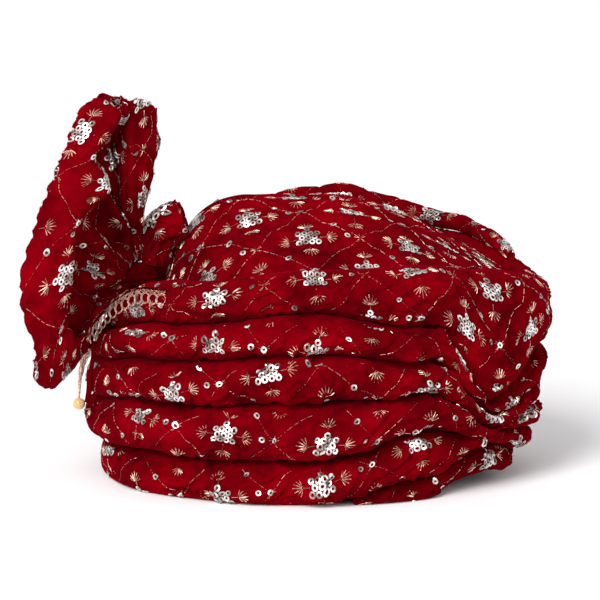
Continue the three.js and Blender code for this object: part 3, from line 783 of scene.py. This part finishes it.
def foldLine(row, following, previous):
    centre = knotCentre()
    valley, ridge, rim = (fanPoint(row[key]) for key in ("valley", "ridge", "rim"))
    outward = unit(valley - centre)
    root = centre + outward * (knotForm["radius"] + fitGap)
    sideways = fanPoint(following["ridge"]) - fanPoint(previous["ridge"])
    middle = mix(root, valley, 0.5) + unit(np.cross(sideways, outward)) * row["fold"] * fanForm["foldDepth"]
    return smoothCurve([root, middle, valley, ridge, rim], fanForm["steps"])


# Fine pleats that spring from the knot and open out, and a ruffled free edge
def makeFan():
    form = fanForm
    folds = allFolds()
    lines = [foldLine(row, folds[min(i + 1, len(folds) - 1)], folds[max(i - 1, 0)]) for i, row in enumerate(folds)]
    lines = np.array(lines)
    grid = np.stack([smoothCurve(lines[:, j], form["split"]) for j in range(lines.shape[1])], axis=1)
    normals = gridNormals(grid, False, False)
    out = cumulative(grid, 1)
    share = out / out[:, -1:]
    girth = cumulative(grid, 0)
    across = girth[:, -1][:, None] + 0 * out
    count = np.linspace(0, len(folds) - 1, grid.shape[0])[:, None]
    pleats = grooves(count * form["pleats"] + form["pleatSway"] * softNoise(count / 3, share * 1.2, 51), 2)
    faded = 1 - form["pleatLost"] * smoothStep(*form["pleatFade"], share)
    pleats = pleats * smoothStep(0.0, form["pleatStart"], share) * faded
    soft = softNoise(count / 1.6, share * 2.2, 52) * smoothStep(*form["softOver"], share)
    waves = count * form["ruffles"] + form["ruffleSway"] * softNoise(count / 5, share * 0.6, 53)
    ruffle = np.sin(waves) * smoothStep(*form["ruffleOver"], share)
    crumple = softNoise(across / 14, out / 11, 54) * smoothStep(*form["crumpleOver"], share)
    push = form["soft"] * soft - form["pleat"] * pleats + form["ruffle"] * ruffle + form["crumple"] * crumple
    grid = grid + normals * push[..., None]
    rim = across[:, -1]
    uneven = form["uneven"] * softNoise(rim / 9, 0 * rim, 55) + form["frayed"] * softNoise(rim / 2.5, 0, 56)
    radial = unit(grid[:, -1] - grid[:, -2])
    grid[:, -1] += radial * uneven[:, None]
    thick = gridNormals(grid, False, False) * form["cloth"] / 2
    points, faces, sideFaces = thinSheet(grid + thick, grid - thick)
    width = girth[:, int(grid.shape[1] * form["mapAt"])]
    near = onFlatMap(width[:, None], out)
    flat = np.concatenate([near, near + np.array([farMap, 0])])
    print("fan cloth area", round(gridArea(grid) / 1e6, 4), "width at the rim", round(float(girth[-1, -1])))
    return makePiece("fan_cloth", points, faces, velvetCloth, flat, 2 * sideFaces), grid[:, -1], radial


fringeForm = {"step": 0.7, "short": 0.3, "long": 0.9, "radius": 0.07, "seed": 12,
              "drift": 0.5, "root": 0.4}


# Short frayed fibres along the fan's free edge
def makeFringe(rim, outward):
    form = fringeForm
    random = np.random.RandomState(form["seed"])
    length = cumulative(rim, 0)
    work = bmesh.new()
    for spot in np.arange(0, length[-1], form["step"]):
        foot = np.array([np.interp(spot, length, rim[:, i]) for i in range(3)])
        away = np.array([np.interp(spot, length, outward[:, i]) for i in range(3)])
        reach = random.uniform(form["short"], form["long"])
        drift = random.uniform(-form["drift"], form["drift"], (2, 3)) * reach
        middle = foot + away * reach * 0.5 + drift[0] * 0.5
        path = [foot - away * form["root"], middle, foot + away * reach + drift[1]]
        addThread(work, path, form["radius"], 3)
    return finishedPiece("fan_fringe", work, velvetCloth)


leafForm = {"back": 10.5, "length": 23, "width": 26, "thick": 25, "steps": 16, "sides": 90, "lobes": 5,
            "waist": 0.72, "sunk": 5, "sunkSteps": 7, "crimp": 0.34, "uneven": 0.1, "droop": 1.6,
            "bloom": (0.1, 0.75), "closing": (0.75, 0.6), "sway": 0.35, "sharp": 2.5, "overlap": 3, "curl": 6,
            "mapWidth": 2.1}
leafPath = [(0, 0, 0), (0.02, 0.04, 0.55), (0.26, 0.08, 1.0), (0.7, 0.1, 1.2)]      # back, aside and up


# A crumpled tuft: its top turns in on itself
def makeLeaf():
    form = leafForm
    seat = math.sqrt(knotForm["radius"] ** 2 - (form["back"] - form["thick"] / 3) ** 2) + fitGap
    foot = knotCentre() + np.array([form["back"], 0, seat - form["overlap"]])
    path = smoothCurve([foot + form["length"] * np.array([back, -aside, up]) for back, aside, up in leafPath],
                       form["steps"])
    tangent = unit(np.gradient(path, axis=0))
    share = np.linspace(0, 1, len(path))
    full = mix(form["waist"], 1.0, smoothStep(*form["bloom"], share))
    sunk = np.arange(1, form["sunkSteps"] + 1) / form["sunkSteps"]
    path = np.concatenate([path, path[-1] - tangent[-1] * form["sunk"] * sunk[:, None]])
    tangent = np.concatenate([tangent, np.repeat(tangent[-1:], len(sunk), axis=0)])
    closing, bend = form["closing"]
    full = np.concatenate([full, full[-1] * (1 - closing * sunk ** bend)])[:, None]
    share = np.concatenate([share, np.ones(len(sunk))])[:, None]
    turn = circle(form["sides"])[None, :]
    wander = form["sway"] * softNoise(np.cos(turn) + share * 1.5, np.sin(turn) + 0 * share, 71)
    lobes = grooves(turn * form["lobes"] / 2 / math.pi + wander, form["sharp"])
    crimp = 1 - form["crimp"] * lobes * mix(0.6, 1, share)
    crimp = crimp + form["uneven"] * softNoise(np.cos(turn) * 2 + share * 4, np.sin(turn) * 2, 72)
    wide = np.cos(turn) * form["width"] / 2 * full * crimp
    thick = np.sin(turn) * form["thick"] / 2 * full * crimp
    over = np.cross(tangent, np.array([0, 1, 0]))
    ring = path[:, None] + np.array([0, 1, 0]) * wide[..., None] + over[:, None] * thick[..., None]
    ring[-len(sunk) - form["curl"]:, :, 2] += form["droop"] * np.sin(turn * 3 + 0.7)
    along = cumulative(path, 0)[:, None] + 0 * turn
    return tubePiece("leaf_cloth", ring, along, turn * form["width"] / form["mapWidth"] + 0 * along, velvetCloth)


# Front band with its lace and bead

bandForm = {
    "widthAngle": 41, "spread": 1.6, "steep": 2.6, "tipHeight": 66, "tipRise": 0.08, "topDrop": 4, "lift": 1.5,
    "cloth": 1.0, "standOff": 4.5, "laceLean": 0.62, "uneven": 0.35, "rows": 60, "columns": 40,
}
laceForm = {"width": 6.9, "loop": 7.4, "lift": 2.2, "tilt": 0.25, "below": 2.8, "endLength": 25, "endWidth": 5.4,
            "strands": 16, "strand": 0.3,
            "threads": ((1.0, 1.0, 0.0, 0.52), (0.78, 0.8, 0.3, 0.3)),     # width, height, level and radius
            "overlap": 0.58, "loopRise": 1.0, "loopSteps": 21, "edgeSteps": 9,
            "zigzags": ((0.4, 0.4, 2), (-0.4, 0.3, 3)), "zigzagThread": (0.36, 0.4)}


# The rolls' outline at an angle, bridged over the valleys as a taut cloth would be
def bridgedOutline(angle):
    turn = np.linspace(0, math.pi, 25)
    outline = []
    for index in range(1, len(rolls)):
        reach, height = rollSection(index, angle, turn)
        outline.extend(zip(height.tolist(), reach.tolist()))
    outline.sort()
    bridge = []
    for point in outline:
        while len(bridge) > 1:
            a, b = bridge[-2:]
            if (b[1] - a[1]) * (point[0] - a[0]) > (point[1] - a[1]) * (b[0] - a[0]):
                break
            bridge.pop()
        bridge.append(point)
    return np.array(bridge)


def coverPoint(angle, height, out):
    bridge = bridgedOutline(angle)
    return placeAt(angle, np.interp(height, bridge[:, 0], bridge[:, 1]) + out, height)


def bandHeight(angle, rise):
    return mix(bandForm["tipHeight"], float(valleyHeight(topValley, angle)) - bandForm["topDrop"], rise)


def bandPoint(side, rise, out):
    angle = side * bandForm["widthAngle"] * rise ** bandForm["spread"]
    return coverPoint(angle, bandHeight(angle, 1 - (1 - rise) ** bandForm["steep"]), out)


def laceEndHeight():
    rise = 1 - (1 - bandForm["tipRise"]) ** bandForm["steep"]
    return bandHeight(0, rise) - laceForm["below"]


# The band's edges stand off the rolls near its tip
def edgeLift(side, rise):
    return bandForm["lift"] + bandForm["standOff"] * abs(side) ** 3 * (1 - rise)


def makeBand():
    form = bandForm
    rises = np.linspace(form["tipRise"], 1, form["rows"])
    sides = np.linspace(-1, 1, form["columns"])
    inner = np.array([[bandPoint(side, rise, edgeLift(side, rise)) for side in sides] for rise in rises])
    along, up = cumulative(inner, 1), cumulative(inner, 0)
    normals = gridNormals(inner, False, False) * normalSign(inner, False)
    inner = inner + normals * form["uneven"] * softNoise(along / 18, up / 14, 61)[..., None]
    outer = inner + normals * form["cloth"]
    points, faces, sideFaces = thinSheet(outer, inner)
    centred = along - along[:, along.shape[1] // 2][:, None]
    flat = np.tile(np.stack([centred, up], -1).reshape(-1, 2) + flatStart[1], (2, 1))
    print("band area", round(gridArea(inner) / 1e6, 5))
    return makePiece("net_band", points, faces, liningCloth, flat, sideFaces)


# A narrow helper strip along one edge of the band, mapped in metres, that the lace is wrapped on
def laceStrip(side):
    form = laceForm
    rises = np.linspace(bandForm["tipRise"], 1, 90)
    edge = np.array([bandPoint(side, rise, edgeLift(1, rise) + form["lift"] - bandForm["lift"]) for rise in rises])
    along = cumulative(edge, 0)
    off = edge * np.array([1, 1, form["tilt"]])
    out = unit(np.cross(unit(np.gradient(edge, axis=0)), off)) * side
    width = np.linspace(-1.5, form["width"] + 2.5, 9)
    radial = unit(edge * np.array([1, 1, 0]))
    lean = bandForm["laceLean"] * (1 - rises)
    grid = edge[:, None] + out[:, None] * (width[None, :, None] + fitGap)
    grid = grid - radial[:, None] * (lean[:, None] * width[None, :])[..., None]
    flat = onFlatMap(along[:, None], width[None, :])
    strip = makePiece("lace_strip", grid.reshape(-1, 3), gridFaces(*grid.shape[:2]), laceThread, flat, grid.size)
    normals = gridNormals(grid, False, False)
    if (normals[..., :2] * grid[..., :2]).sum() < 0:
        strip.data.flip_normals()
    return strip, float(along[-1])


# Embroidery, net and lace: flat motifs in millimetres, repeated and wrapped on a cloth's flat map

ringForm = {"outer": 1.8, "inner": 0.85, "thick": 0.3, "sides": 11, "lift": 0.35, "near": 3.75, "far": 6.6}
stitchForm = {"width": 0.42, "height": 0.36, "taper": 0.55}
cellForm = {"period": 62, "sprigAt": 11, "sprigLength": 6.5, "strokes": 7, "spread": 66, "bend": 0.35, "stem": 4,
            "single": 7.5, "dash": 3.6, "gap": 1.2,
            "rootGap": 0.8, "shorter": 0.22, "sprigThread": (0.6, 0.45), "dashSpan": (0.14, 0.86),
            "starSpan": (0.7, 3.4), "starRays": 5, "starTurn": 20, "starThread": (0.5, 0.4)}


def toward(degrees):
    return np.array([math.cos(math.radians(degrees)), math.sin(math.radians(degrees))])


def joinRings(work, rings):
    for first, second in zip(rings, rings[1:]):
        for i in range(len(first)):
            k = (i + 1) % len(first)
            work.faces.new((first[i], first[k], second[k], second[i]))


def addRing(work, x, y, lift, tilt=(0, 0)):
    form = ringForm
    rings = []
    for radius, height in ((form["outer"], 0), (form["outer"], form["thick"]), (form["inner"], form["thick"]),
                           (form["inner"], 0)):
        ring = []
        for i in range(form["sides"]):
            dx, dy = radius * toward(360 * i / form["sides"])
            z = lift + height + dx * tilt[0] + dy * tilt[1]
            ring.append(work.verts.new(((x + dx) * mm, (y + dy) * mm, z * mm)))
        rings.append(ring)
    joinRings(work, rings)


# A stitch along flat points: a low ridge of thread
def addStitch(work, path, width=stitchForm["width"], height=stitchForm["height"], lift=0.0):
    path = np.asarray(path, dtype=float)
    tangent = unit(np.gradient(path, axis=0))
    side = np.stack([-tangent[:, 1], tangent[:, 0]], -1) * width / 2
    rows = []
    for i, (point, offset) in enumerate(zip(path, side)):
        thin = stitchForm["taper"] if i in (0, len(path) - 1) else 1
        spots = ((point + offset * thin, 0), (point, height * thin), (point - offset * thin, 0))
        rows.append([work.verts.new((spot[0] * mm, spot[1] * mm, (lift + up) * mm)) for spot, up in spots])
    for a, b in zip(rows, rows[1:]):
        work.faces.new((a[0], a[1], b[1], b[0]))
        work.faces.new((a[1], a[2], b[2], b[1]))
    work.faces.new((rows[0][2], rows[0][1], rows[0][0]))
    work.faces.new((rows[-1][0], rows[-1][1], rows[-1][2]))


def motifObject(name, fill):
    work = bmesh.new()
    fill(work)
    mesh = bpy.data.meshes.new(name)
    work.to_mesh(mesh)
    work.free()
    return bpy.data.objects.new(name, mesh)


# The four corners' quarter clusters are one whole cluster at the cell's corner, so each cell holds two
def clusterCentres():
    half = cellForm["period"] / 2
    return [(0, 0), (half, half)]


def fillSequins(work):
    random = np.random.RandomState(8)
    form = ringForm
    half = cellForm["period"] / 2
    spots = [np.zeros(2), *(form["near"] * toward(turn) for turn in range(0, 360, 60)),
             *(form["far"] * toward(turn) for turn in (30, 90, 150, 210, 330))]
    for centre in clusterCentres():
        for spot in spots:
            lift = form["lift"] + random.uniform(0, 0.35)
            addRing(work, *(centre + spot), lift, random.uniform(-0.12, 0.12, 2))
        singles = [half * math.sqrt(0.5) * toward(turn) + (1.5, -1.5) for turn in (45, 225)]
        for spot in [*singles, (half - cellForm["single"], 1)]:
            addRing(work, *np.add(centre, spot), form["lift"], random.uniform(-0.15, 0.15, 2))
    addRing(work, half, 0.4, form["lift"] + 0.2)


def fillThreads(work):
    form = cellForm
    half = form["period"] / 2
    for centre in clusterCentres():
        for turn in (0, 90, 180, 270):
            base = centre + form["sprigAt"] * toward(turn)
            for share in np.linspace(-1, 1, form["strokes"]):
                lean = toward(turn + form["spread"] * share)
                start = base + form["rootGap"] * lean
                tip = base + form["sprigLength"] * (1 - form["shorter"] * abs(share)) * lean
                middle = mix(start, tip, 0.5) + form["bend"] * share * toward(turn + 90)
                addStitch(work, [start, middle, tip], *form["sprigThread"])
            addStitch(work, [base - form["stem"] * toward(turn), base])
    for turn in (0, 90, 180, 270):             # dashed trellis lines from node to node
        a, b = half * toward(turn), half * toward(turn + 90)
        count = int(np.linalg.norm(b - a) / (form["dash"] + form["gap"]))
        for k in range(count):
            addStitch(work, [mix(a, b, (k + share) / count) for share in form["dashSpan"]])
    for centre in ((half, 0), (0, half)):      # a small star of stitches on each node
        for k in range(form["starRays"]):
            ray = toward(form["starTurn"] + k * (360 // form["starRays"]))
            addStitch(work, [centre + reach * ray for reach in form["starSpan"]], *form["starThread"])


# Net: a scrolled vine of looped thread over a fine mesh of diagonal threads
netForm = {"period": 8, "mesh": 0.14, "scroll": 0.42,
           "strands": 4, "meshLevel": 0.12, "scrollLevel": 0.4, "halfTurns": 3.4,
           "inner": 0.7, "outer": 3.3, "steps": 22}


def fillNet(work):
    form = netForm
    period = form["period"]
    for k in range(form["strands"]):
        shift = k * period / form["strands"]
        for first, last in ((shift, shift + period), (shift + period, shift)):
            path = [(first, 0), (mix(first, last, 0.5), period / 2), (last, period)]
            addStitch(work, path, form["mesh"], form["meshLevel"])
    turns = np.linspace(0, form["halfTurns"] * math.pi, form["steps"])
    radius = mix(form["inner"], form["outer"], turns / turns[-1])
    scroll = np.stack([period / 2 + radius * np.cos(turns), period / 2 + radius * np.sin(turns)], -1)
    addStitch(work, scroll, form["scroll"], form["scrollLevel"])


# Lace: each loop is two fine threads, and loops overlap their neighbours
def fillLace(work):
    form = laceForm
    turns = np.linspace(0, 2 * math.pi, form["loopSteps"])
    for wide, tall, level, thread in form["threads"]:
        x = form["loop"] / 2 + wide * form["loop"] * form["overlap"] * np.cos(turns)
        y = flatStart[1] + form["width"] / 2 + form["loopRise"] + tall * form["width"] / 2 * np.sin(turns)
        addStitch(work, np.stack([x, y], -1), thread, thread, level)
    x = np.linspace(0, form["loop"], form["edgeSteps"])
    for off, sway, waves in form["zigzags"]:
        y = flatStart[1] + off + sway * np.sin(x * 2 * math.pi * waves / form["loop"])
        addStitch(work, np.stack([x, y], -1), *form["zigzagThread"])


# Geometry Nodes: repeats a flat cell over a grid and wraps it on a cloth by the cloth's flat map
def wrapTree():
    tree = bpy.data.node_groups.new("wrap_on_cloth", "GeometryNodeTree")
    tree.interface.new_socket("Geometry", in_out="OUTPUT", socket_type="NodeSocketGeometry")
    for name, kind in (("Geometry", "Geometry"), ("Cell", "Object"), ("Cloth", "Object"), ("Period", "Float"),
                       ("Columns", "Int"), ("Rows", "Int"), ("Turn", "Float"), ("Start", "Vector"),
                       ("Finish", "Material")):
        tree.interface.new_socket(name, in_out="INPUT", socket_type="NodeSocket" + kind)
    given = tree.nodes.new("NodeGroupInput").outputs

    def add(kind, values, **settings):
        return addNode(tree, kind, values, **settings).outputs

    def gridSize(count):
        steps = add("ShaderNodeMath", {0: given[count], 1: 1.0}, operation="SUBTRACT")[0]
        return add("ShaderNodeMath", {0: steps, 1: given["Period"]}, operation="MULTIPLY")[0]

    grid = add("GeometryNodeMeshGrid", {"Size X": gridSize("Columns"), "Size Y": gridSize("Rows"),
                                        "Vertices X": given["Columns"], "Vertices Y": given["Rows"]})["Mesh"]
    cell = add("GeometryNodeObjectInfo", {"Object": given["Cell"]})["Geometry"]
    cloth = add("GeometryNodeObjectInfo", {"Object": given["Cloth"]})["Geometry"]
    copies = add("GeometryNodeInstanceOnPoints", {"Points": grid, "Instance": cell})[0]
    copies = add("GeometryNodeRealizeInstances", {"Geometry": copies})[0]
    position = add("GeometryNodeInputPosition", {})[0]
    turned = add("ShaderNodeVectorRotate", {"Vector": position, "Angle": given["Turn"]}, rotation_type="Z_AXIS")[0]
    shifted = add("ShaderNodeVectorMath", {0: turned, 1: given["Start"]}, operation="ADD")[0]
    flatMap = add("GeometryNodeInputNamedAttribute", {"Name": "flat"}, data_type="FLOAT_VECTOR")["Attribute"]

    def sample(value):
        return add("GeometryNodeSampleUVSurface", {"Mesh": cloth, "Value": value, "UV Map": flatMap,
                                                   "Sample UV": shifted}, data_type="FLOAT_VECTOR")

    place = sample(position)
    normal = sample(add("GeometryNodeInputNormal", {})[0])["Value"]
    outside = add("FunctionNodeBooleanMath", {0: place["Is Valid"]}, operation="NOT")[0]
    kept = add("GeometryNodeDeleteGeometry", {"Geometry": copies, "Selection": outside}, domain="POINT")[0]
    height = add("ShaderNodeSeparateXYZ", {0: position})["Z"]
    raised = add("ShaderNodeVectorMath", {0: normal, "Scale": height}, operation="SCALE")[0]
    target = add("ShaderNodeVectorMath", {0: place["Value"], 1: raised}, operation="ADD")[0]
    wrapped = add("GeometryNodeSetPosition", {"Geometry": kept, "Position": target})[0]
    whole = add("GeometryNodeRealizeInstances", {"Geometry": wrapped})[0]
    finish = add("GeometryNodeSetMaterial", {"Geometry": whole, "Material": given["Finish"]})[0]
    tree.links.new(finish, tree.nodes.new("NodeGroupOutput").inputs[0])
    return tree


# Wraps a cell on a cloth and adds the result to a growing mesh
def wrapOn(growing, tree, cell, cloth, finish, period, columns, rows, turn, start):
    holder = newObject("wrap", bpy.data.meshes.new("wrap"))
    modifier = holder.modifiers.new("wrap", "NODES")
    modifier.node_group = tree
    values = {"Cell": cell, "Cloth": cloth, "Period": period * mm, "Columns": columns, "Rows": rows,
              "Turn": math.radians(turn), "Start": [v * mm for v in start] + [0.0], "Finish": finish}
    for item in tree.interface.items_tree:
        if item.in_out == "INPUT" and item.name in values:
            modifier[item.identifier] = values[item.name]
    graph = bpy.context.evaluated_depsgraph_get()
    made = bpy.data.meshes.new_from_object(holder.evaluated_get(graph))
    growing.from_mesh(made)
    bpy.data.objects.remove(holder)


# A piece from a grown mesh, kept above the floor
def finishedPiece(name, growing, material):
    for corner in growing.verts:
        corner.co.z = max(corner.co.z, 0)
    mesh = bpy.data.meshes.new(name)
    growing.to_mesh(mesh)
    growing.free()
    mesh.materials.clear()
    mesh.materials.append(material)
    return newObject(name, mesh)


print("shaping the crown and the rolls")
crown = makeCrown()
rollPieces = {rolls[index]["name"]: makeRoll(index) for index in range(1, len(rolls))}
tuckAngles = np.linspace(100, 260, 321)
tuckOpen = tuckAngles[(valleyHeight(1, tuckAngles) - valleyHeight(0, tuckAngles)) > 3.5]
tuck = makeRoll(0, tuckOpen[0], tuckOpen[-1], False)
topRoll = makeTopRoll()
print("shaping the fan and the band")
knot = makeKnot()
fan, fanRim, fanOutward = makeFan()
leaf = makeLeaf()
band = makeBand()


# Bead, its thread and the lace's gathered end

beadForm = {"diameter": 7.4, "threadRadius": 0.35, "pole": 0.93, "rows": 26, "sides": 36}


def makeBead():
    form, lace = beadForm, laceForm
    radius = form["diameter"] / 2
    height = laceEndHeight() - lace["endLength"] - fitGap - radius
    reach, heights = rollSection(2, 0.0, np.linspace(0, math.pi, 60))
    out = np.interp(height, heights, reach) + radius + fitGap * 2
    centre = placeAt(0, out, height)
    tilt = np.linspace(0, math.pi, form["rows"])[1:-1, None]
    turn = circle(form["sides"])[None, :]
    around = radius * np.sin(tilt)
    shell = np.stack([around * np.cos(turn), around * np.sin(turn), radius * np.cos(tilt) + 0 * turn], -1)
    points, faces = closedBall(shell, radius * form["pole"])
    return makePiece("bead", points + centre, faces, pearlGloss), centre


# A round thread along points
def addThread(work, path, radius, sides=5):
    path = np.asarray(path, dtype=float)
    tangent = unit(np.gradient(path, axis=0))
    side = unit(np.cross(tangent, np.array([0.31, 0.9, 0.21])))
    up = np.cross(tangent, side)
    rows = []
    for point, a, b in zip(path, side, up):
        spots = [point + (a * x + b * y) * radius for x, y in (toward(360 * i / sides) for i in range(sides))]
        rows.append([work.verts.new(spot * mm + np.array(axisPoint)) for spot in spots])
    joinRings(work, rows)
    work.faces.new(list(reversed(rows[0])))
    work.faces.new(rows[-1])


bead, beadCentre = makeBead()


def makeLaceEnd():
    form = laceForm
    top = laceEndHeight() + 3.5
    foot = beadCentre + np.array([0, 0, beadForm["diameter"] / 2 - 0.4])
    work = bmesh.new()
    share = np.linspace(0, 1, 40)
    start = coverPoint(0, top, form["endWidth"] / 2 + 1)
    middle = mix(start[None, :], foot[None, :], share[:, None])
    middle[:, 0] -= 1.2 * np.sin(share * math.pi)
    narrow = mix(1, 0.1, share ** 0.8)
    for k in range(form["strands"]):
        turn = 2 * math.pi * k / form["strands"] + share * 4.5 + 0.5 * math.sin(k * 2.1)
        radius = form["endWidth"] / 2 * narrow * mix(0.45, 1, (k * 0.37) % 1)
        radius = radius * (1 + 0.18 * np.sin(share * 17 + k * 1.3))
        offset = np.stack([radius * np.cos(turn), radius * np.sin(turn), 0 * turn], -1)
        addThread(work, middle + offset, form["strand"])
    addThread(work, [foot + np.array([0, 0, 1.5]), foot, foot - np.array([0, 0, 1.2])], beadForm["threadRadius"])
    return finishedPiece("lace_strands", work, laceThread)


laceEnd = makeLaceEnd()

tailForm = {"angle": 11, "width": 3, "cloth": 0.9, "lift": 1.6, "low": 47, "rows": 60, "columns": 8,
            "above": 14, "turnedAside": 0.66, "turnedBack": 0.75}


# The narrow band that hangs beside the lace's end, in the darker velvet: painted shade
def makeTail():
    form = tailForm
    heights = np.linspace(laceEndHeight() + form["above"], form["low"], form["rows"])
    across = np.linspace(-0.5, 0.5, form["columns"])[None, :]
    shells = []
    for out in (form["lift"] + form["cloth"], form["lift"]):
        line = np.array([coverPoint(form["angle"], height, out) for height in heights])
        sheet = np.repeat(line[:, None], form["columns"], axis=1)
        sheet[..., 1] -= across * form["width"] * form["turnedAside"]
        sheet[..., 0] += across * form["width"] * form["turnedBack"]
        sheet[..., 0] -= 0.4 * np.sin(heights / 5)[:, None] * across + 0.3 * np.sin(heights / 3.1)[:, None]
        shells.append(sheet)
    points, faces, _ = thinSheet(*shells)
    return makePiece("band_tail", points, faces, velvetPaintedShade)


bandTail = makeTail()
fringe = makeFringe(fanRim, fanOutward)

print("stitching the embroidery")
tree = wrapTree()
sequinCell = motifObject("sequin_cell", fillSequins)
threadCell = motifObject("thread_cell", fillThreads)
netCell = motifObject("net_cell", fillNet)
laceCell = motifObject("lace_cell", fillLace)

# Each cloth's lattice: columns, rows, how far it is turned, and where it starts on the cloth's flat map
layout = [
    (crown, 6, 6, 8, (140, 196)),
    (rollPieces["roll_5"], 14, 6, 8, (371, 192)),
    (rollPieces["roll_4"], 14, 6, -7, (384, 206)),
    (rollPieces["roll_3"], 14, 6, 10, (410, 214)),
    (rollPieces["roll_2"], 14, 6, -9, (372, 196)),
    (rollPieces["roll_1"], 14, 5, 7, (392, 203)),
    (tuck, 6, 4, 12, (120, 200)),
    (topRoll, 7, 3, 6, (150, 214)),
    (leaf, 3, 3, 20, (44, 214)),
    (fan, 12, 5, 4, (260, 236)),
    (fan, 12, 5, 4, (260 + farMap, 236)),
]
sequins, threads = bmesh.new(), bmesh.new()
for cloth, columns, rows, turn, start in layout:
    for growing, cell, finish in ((sequins, sequinCell, silverSequin), (threads, threadCell, goldThread)):
        wrapOn(growing, tree, cell, cloth, finish, cellForm["period"], columns, rows, turn, start)
sequinPiece = finishedPiece("ring_sequins", sequins, silverSequin)
threadPiece = finishedPiece("embroidery_threads", threads, goldThread)

print("making the net and the lace")
net = bmesh.new()
wrapOn(net, tree, netCell, band, netThread, netForm["period"], 30, 16, 20, (200, 230))
netPiece = finishedPiece("net_scrolls", net, netThread)
laces = {}
for name, side in (("lace_near", 1), ("lace_far", -1)):
    strip, length = laceStrip(side)
    growing = bmesh.new()
    loops = round(length / laceForm["loop"])
    wrapOn(growing, tree, laceCell, strip, laceThread, length / loops, loops, 1, 0,
           (flatStart[0] + length / 2 - length / loops / 2, 0))
    laces[name] = finishedPiece(name + "_loops", growing, laceThread)
    bpy.data.objects.remove(strip)
for cell in (sequinCell, threadCell, netCell, laceCell):
    bpy.data.objects.remove(cell)

for name, piece in rollPieces.items():
    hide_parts(name)
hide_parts("crown")
for piece, node, fill in ((tuck, "back_tuck", 0.4), (topRoll, "top_roll", 0.6), (knot, "knot", 0.8),
                          (leaf, "rear_leaf", 0.5)):
    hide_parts(node)
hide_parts("fan")
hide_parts("front_band")
for piece, node in ((laces["lace_near"], "lace_near"), (laces["lace_far"], "lace_far"), (laceEnd, "lace_end"),
                    (bead, "pearl")):
    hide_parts(node)
slots = {
    "velvet": [crown, tuck, topRoll, knot, leaf, fan, fringe, bandTail, *rollPieces.values()],
    "dark_net": [band],
    "gold_thread": [sequinPiece, threadPiece, netPiece, laceEnd, *laces.values()],
    "pearl": [bead],
}
for slotName, group in slots.items():
    for piece in group:
        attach(piece, "root")


# Floor, light and camera

studio = {
    "floor": 40.0, "floorTone": (0.98, 0.97, 0.98, 1), "sky": 0.62,
    "sunStrength": 2.0, "sunSoftness": 24, "sunFrom": (-0.45, -0.85, 0.85),
    "keyPower": 20, "keySize": 0.9, "keyAt": (-0.7, -1.7, 0.75),
    "fillPower": 5, "fillSize": 1.4, "fillAt": (1.6, -1.2, 0.9),
    "distance": 3.2, "elevation": 10, "aimAhead": 7.5, "aimHeight": 104.5, "frameWidth": 360,
}


def areaLight(name, power, size, at, aim):
    data = bpy.data.lights.new(name, "AREA")
    data.energy = power
    data.size = size
    light = newObject(name, data)
    light.location = at
    light.rotation_euler = (Vector(aim) - Vector(at)).to_track_quat("-Z", "Y").to_euler()


def makeStudio():
    floorMesh = bpy.data.meshes.new("floor")
    half = studio["floor"]
    corners = [(-half, -half, 0), (half, -half, 0), (half, half, 0), (-half, half, 0)]
    floorMesh.from_pydata(corners, [], [(0, 1, 2, 3)])
    floor = newObject("floor", floorMesh)
    material, tree, shader = newMaterial("pale_floor")
    setInputs(tree, shader, {"Base Color": studio["floorTone"], "Roughness": 0.9})
    floorMesh.materials.append(material)
    world = bpy.data.worlds.new("studio")
    scene.world = world
    world.use_nodes = True
    background = world.node_tree.nodes["Background"]
    setInputs(world.node_tree, background, {"Color": (1, 1, 1, 1), "Strength": studio["sky"]})
    aim = (axisPoint.x, axisPoint.y, 0.09)
    areaLight("key", studio["keyPower"], studio["keySize"], studio["keyAt"], aim)
    areaLight("fill", studio["fillPower"], studio["fillSize"], studio["fillAt"], aim)
    sun = newObject("sun", bpy.data.lights.new("sun", "SUN"))
    sun.data.energy = studio["sunStrength"]
    sun.data.angle = math.radians(studio["sunSoftness"])
    sun.rotation_euler = (-Vector(studio["sunFrom"])).to_track_quat("-Z", "Y").to_euler()
    scene.view_settings.view_transform = "Standard"


def makeCamera():
    data = bpy.data.cameras.new("camera")
    camera = newObject("camera", data)
    aim = axisPoint + Vector((-studio["aimAhead"], 0, studio["aimHeight"])) * mm
    rise = math.radians(studio["elevation"])
    camera.location = aim + Vector((0, -math.cos(rise), math.sin(rise))) * studio["distance"]
    camera.rotation_euler = (aim - camera.location).to_track_quat("-Z", "Y").to_euler()
    data.sensor_width = 36
    data.lens = 36 * studio["distance"] / (studio["frameWidth"] * mm)
    scene.camera = camera


print("setting the studio")
makeStudio()
makeCamera()
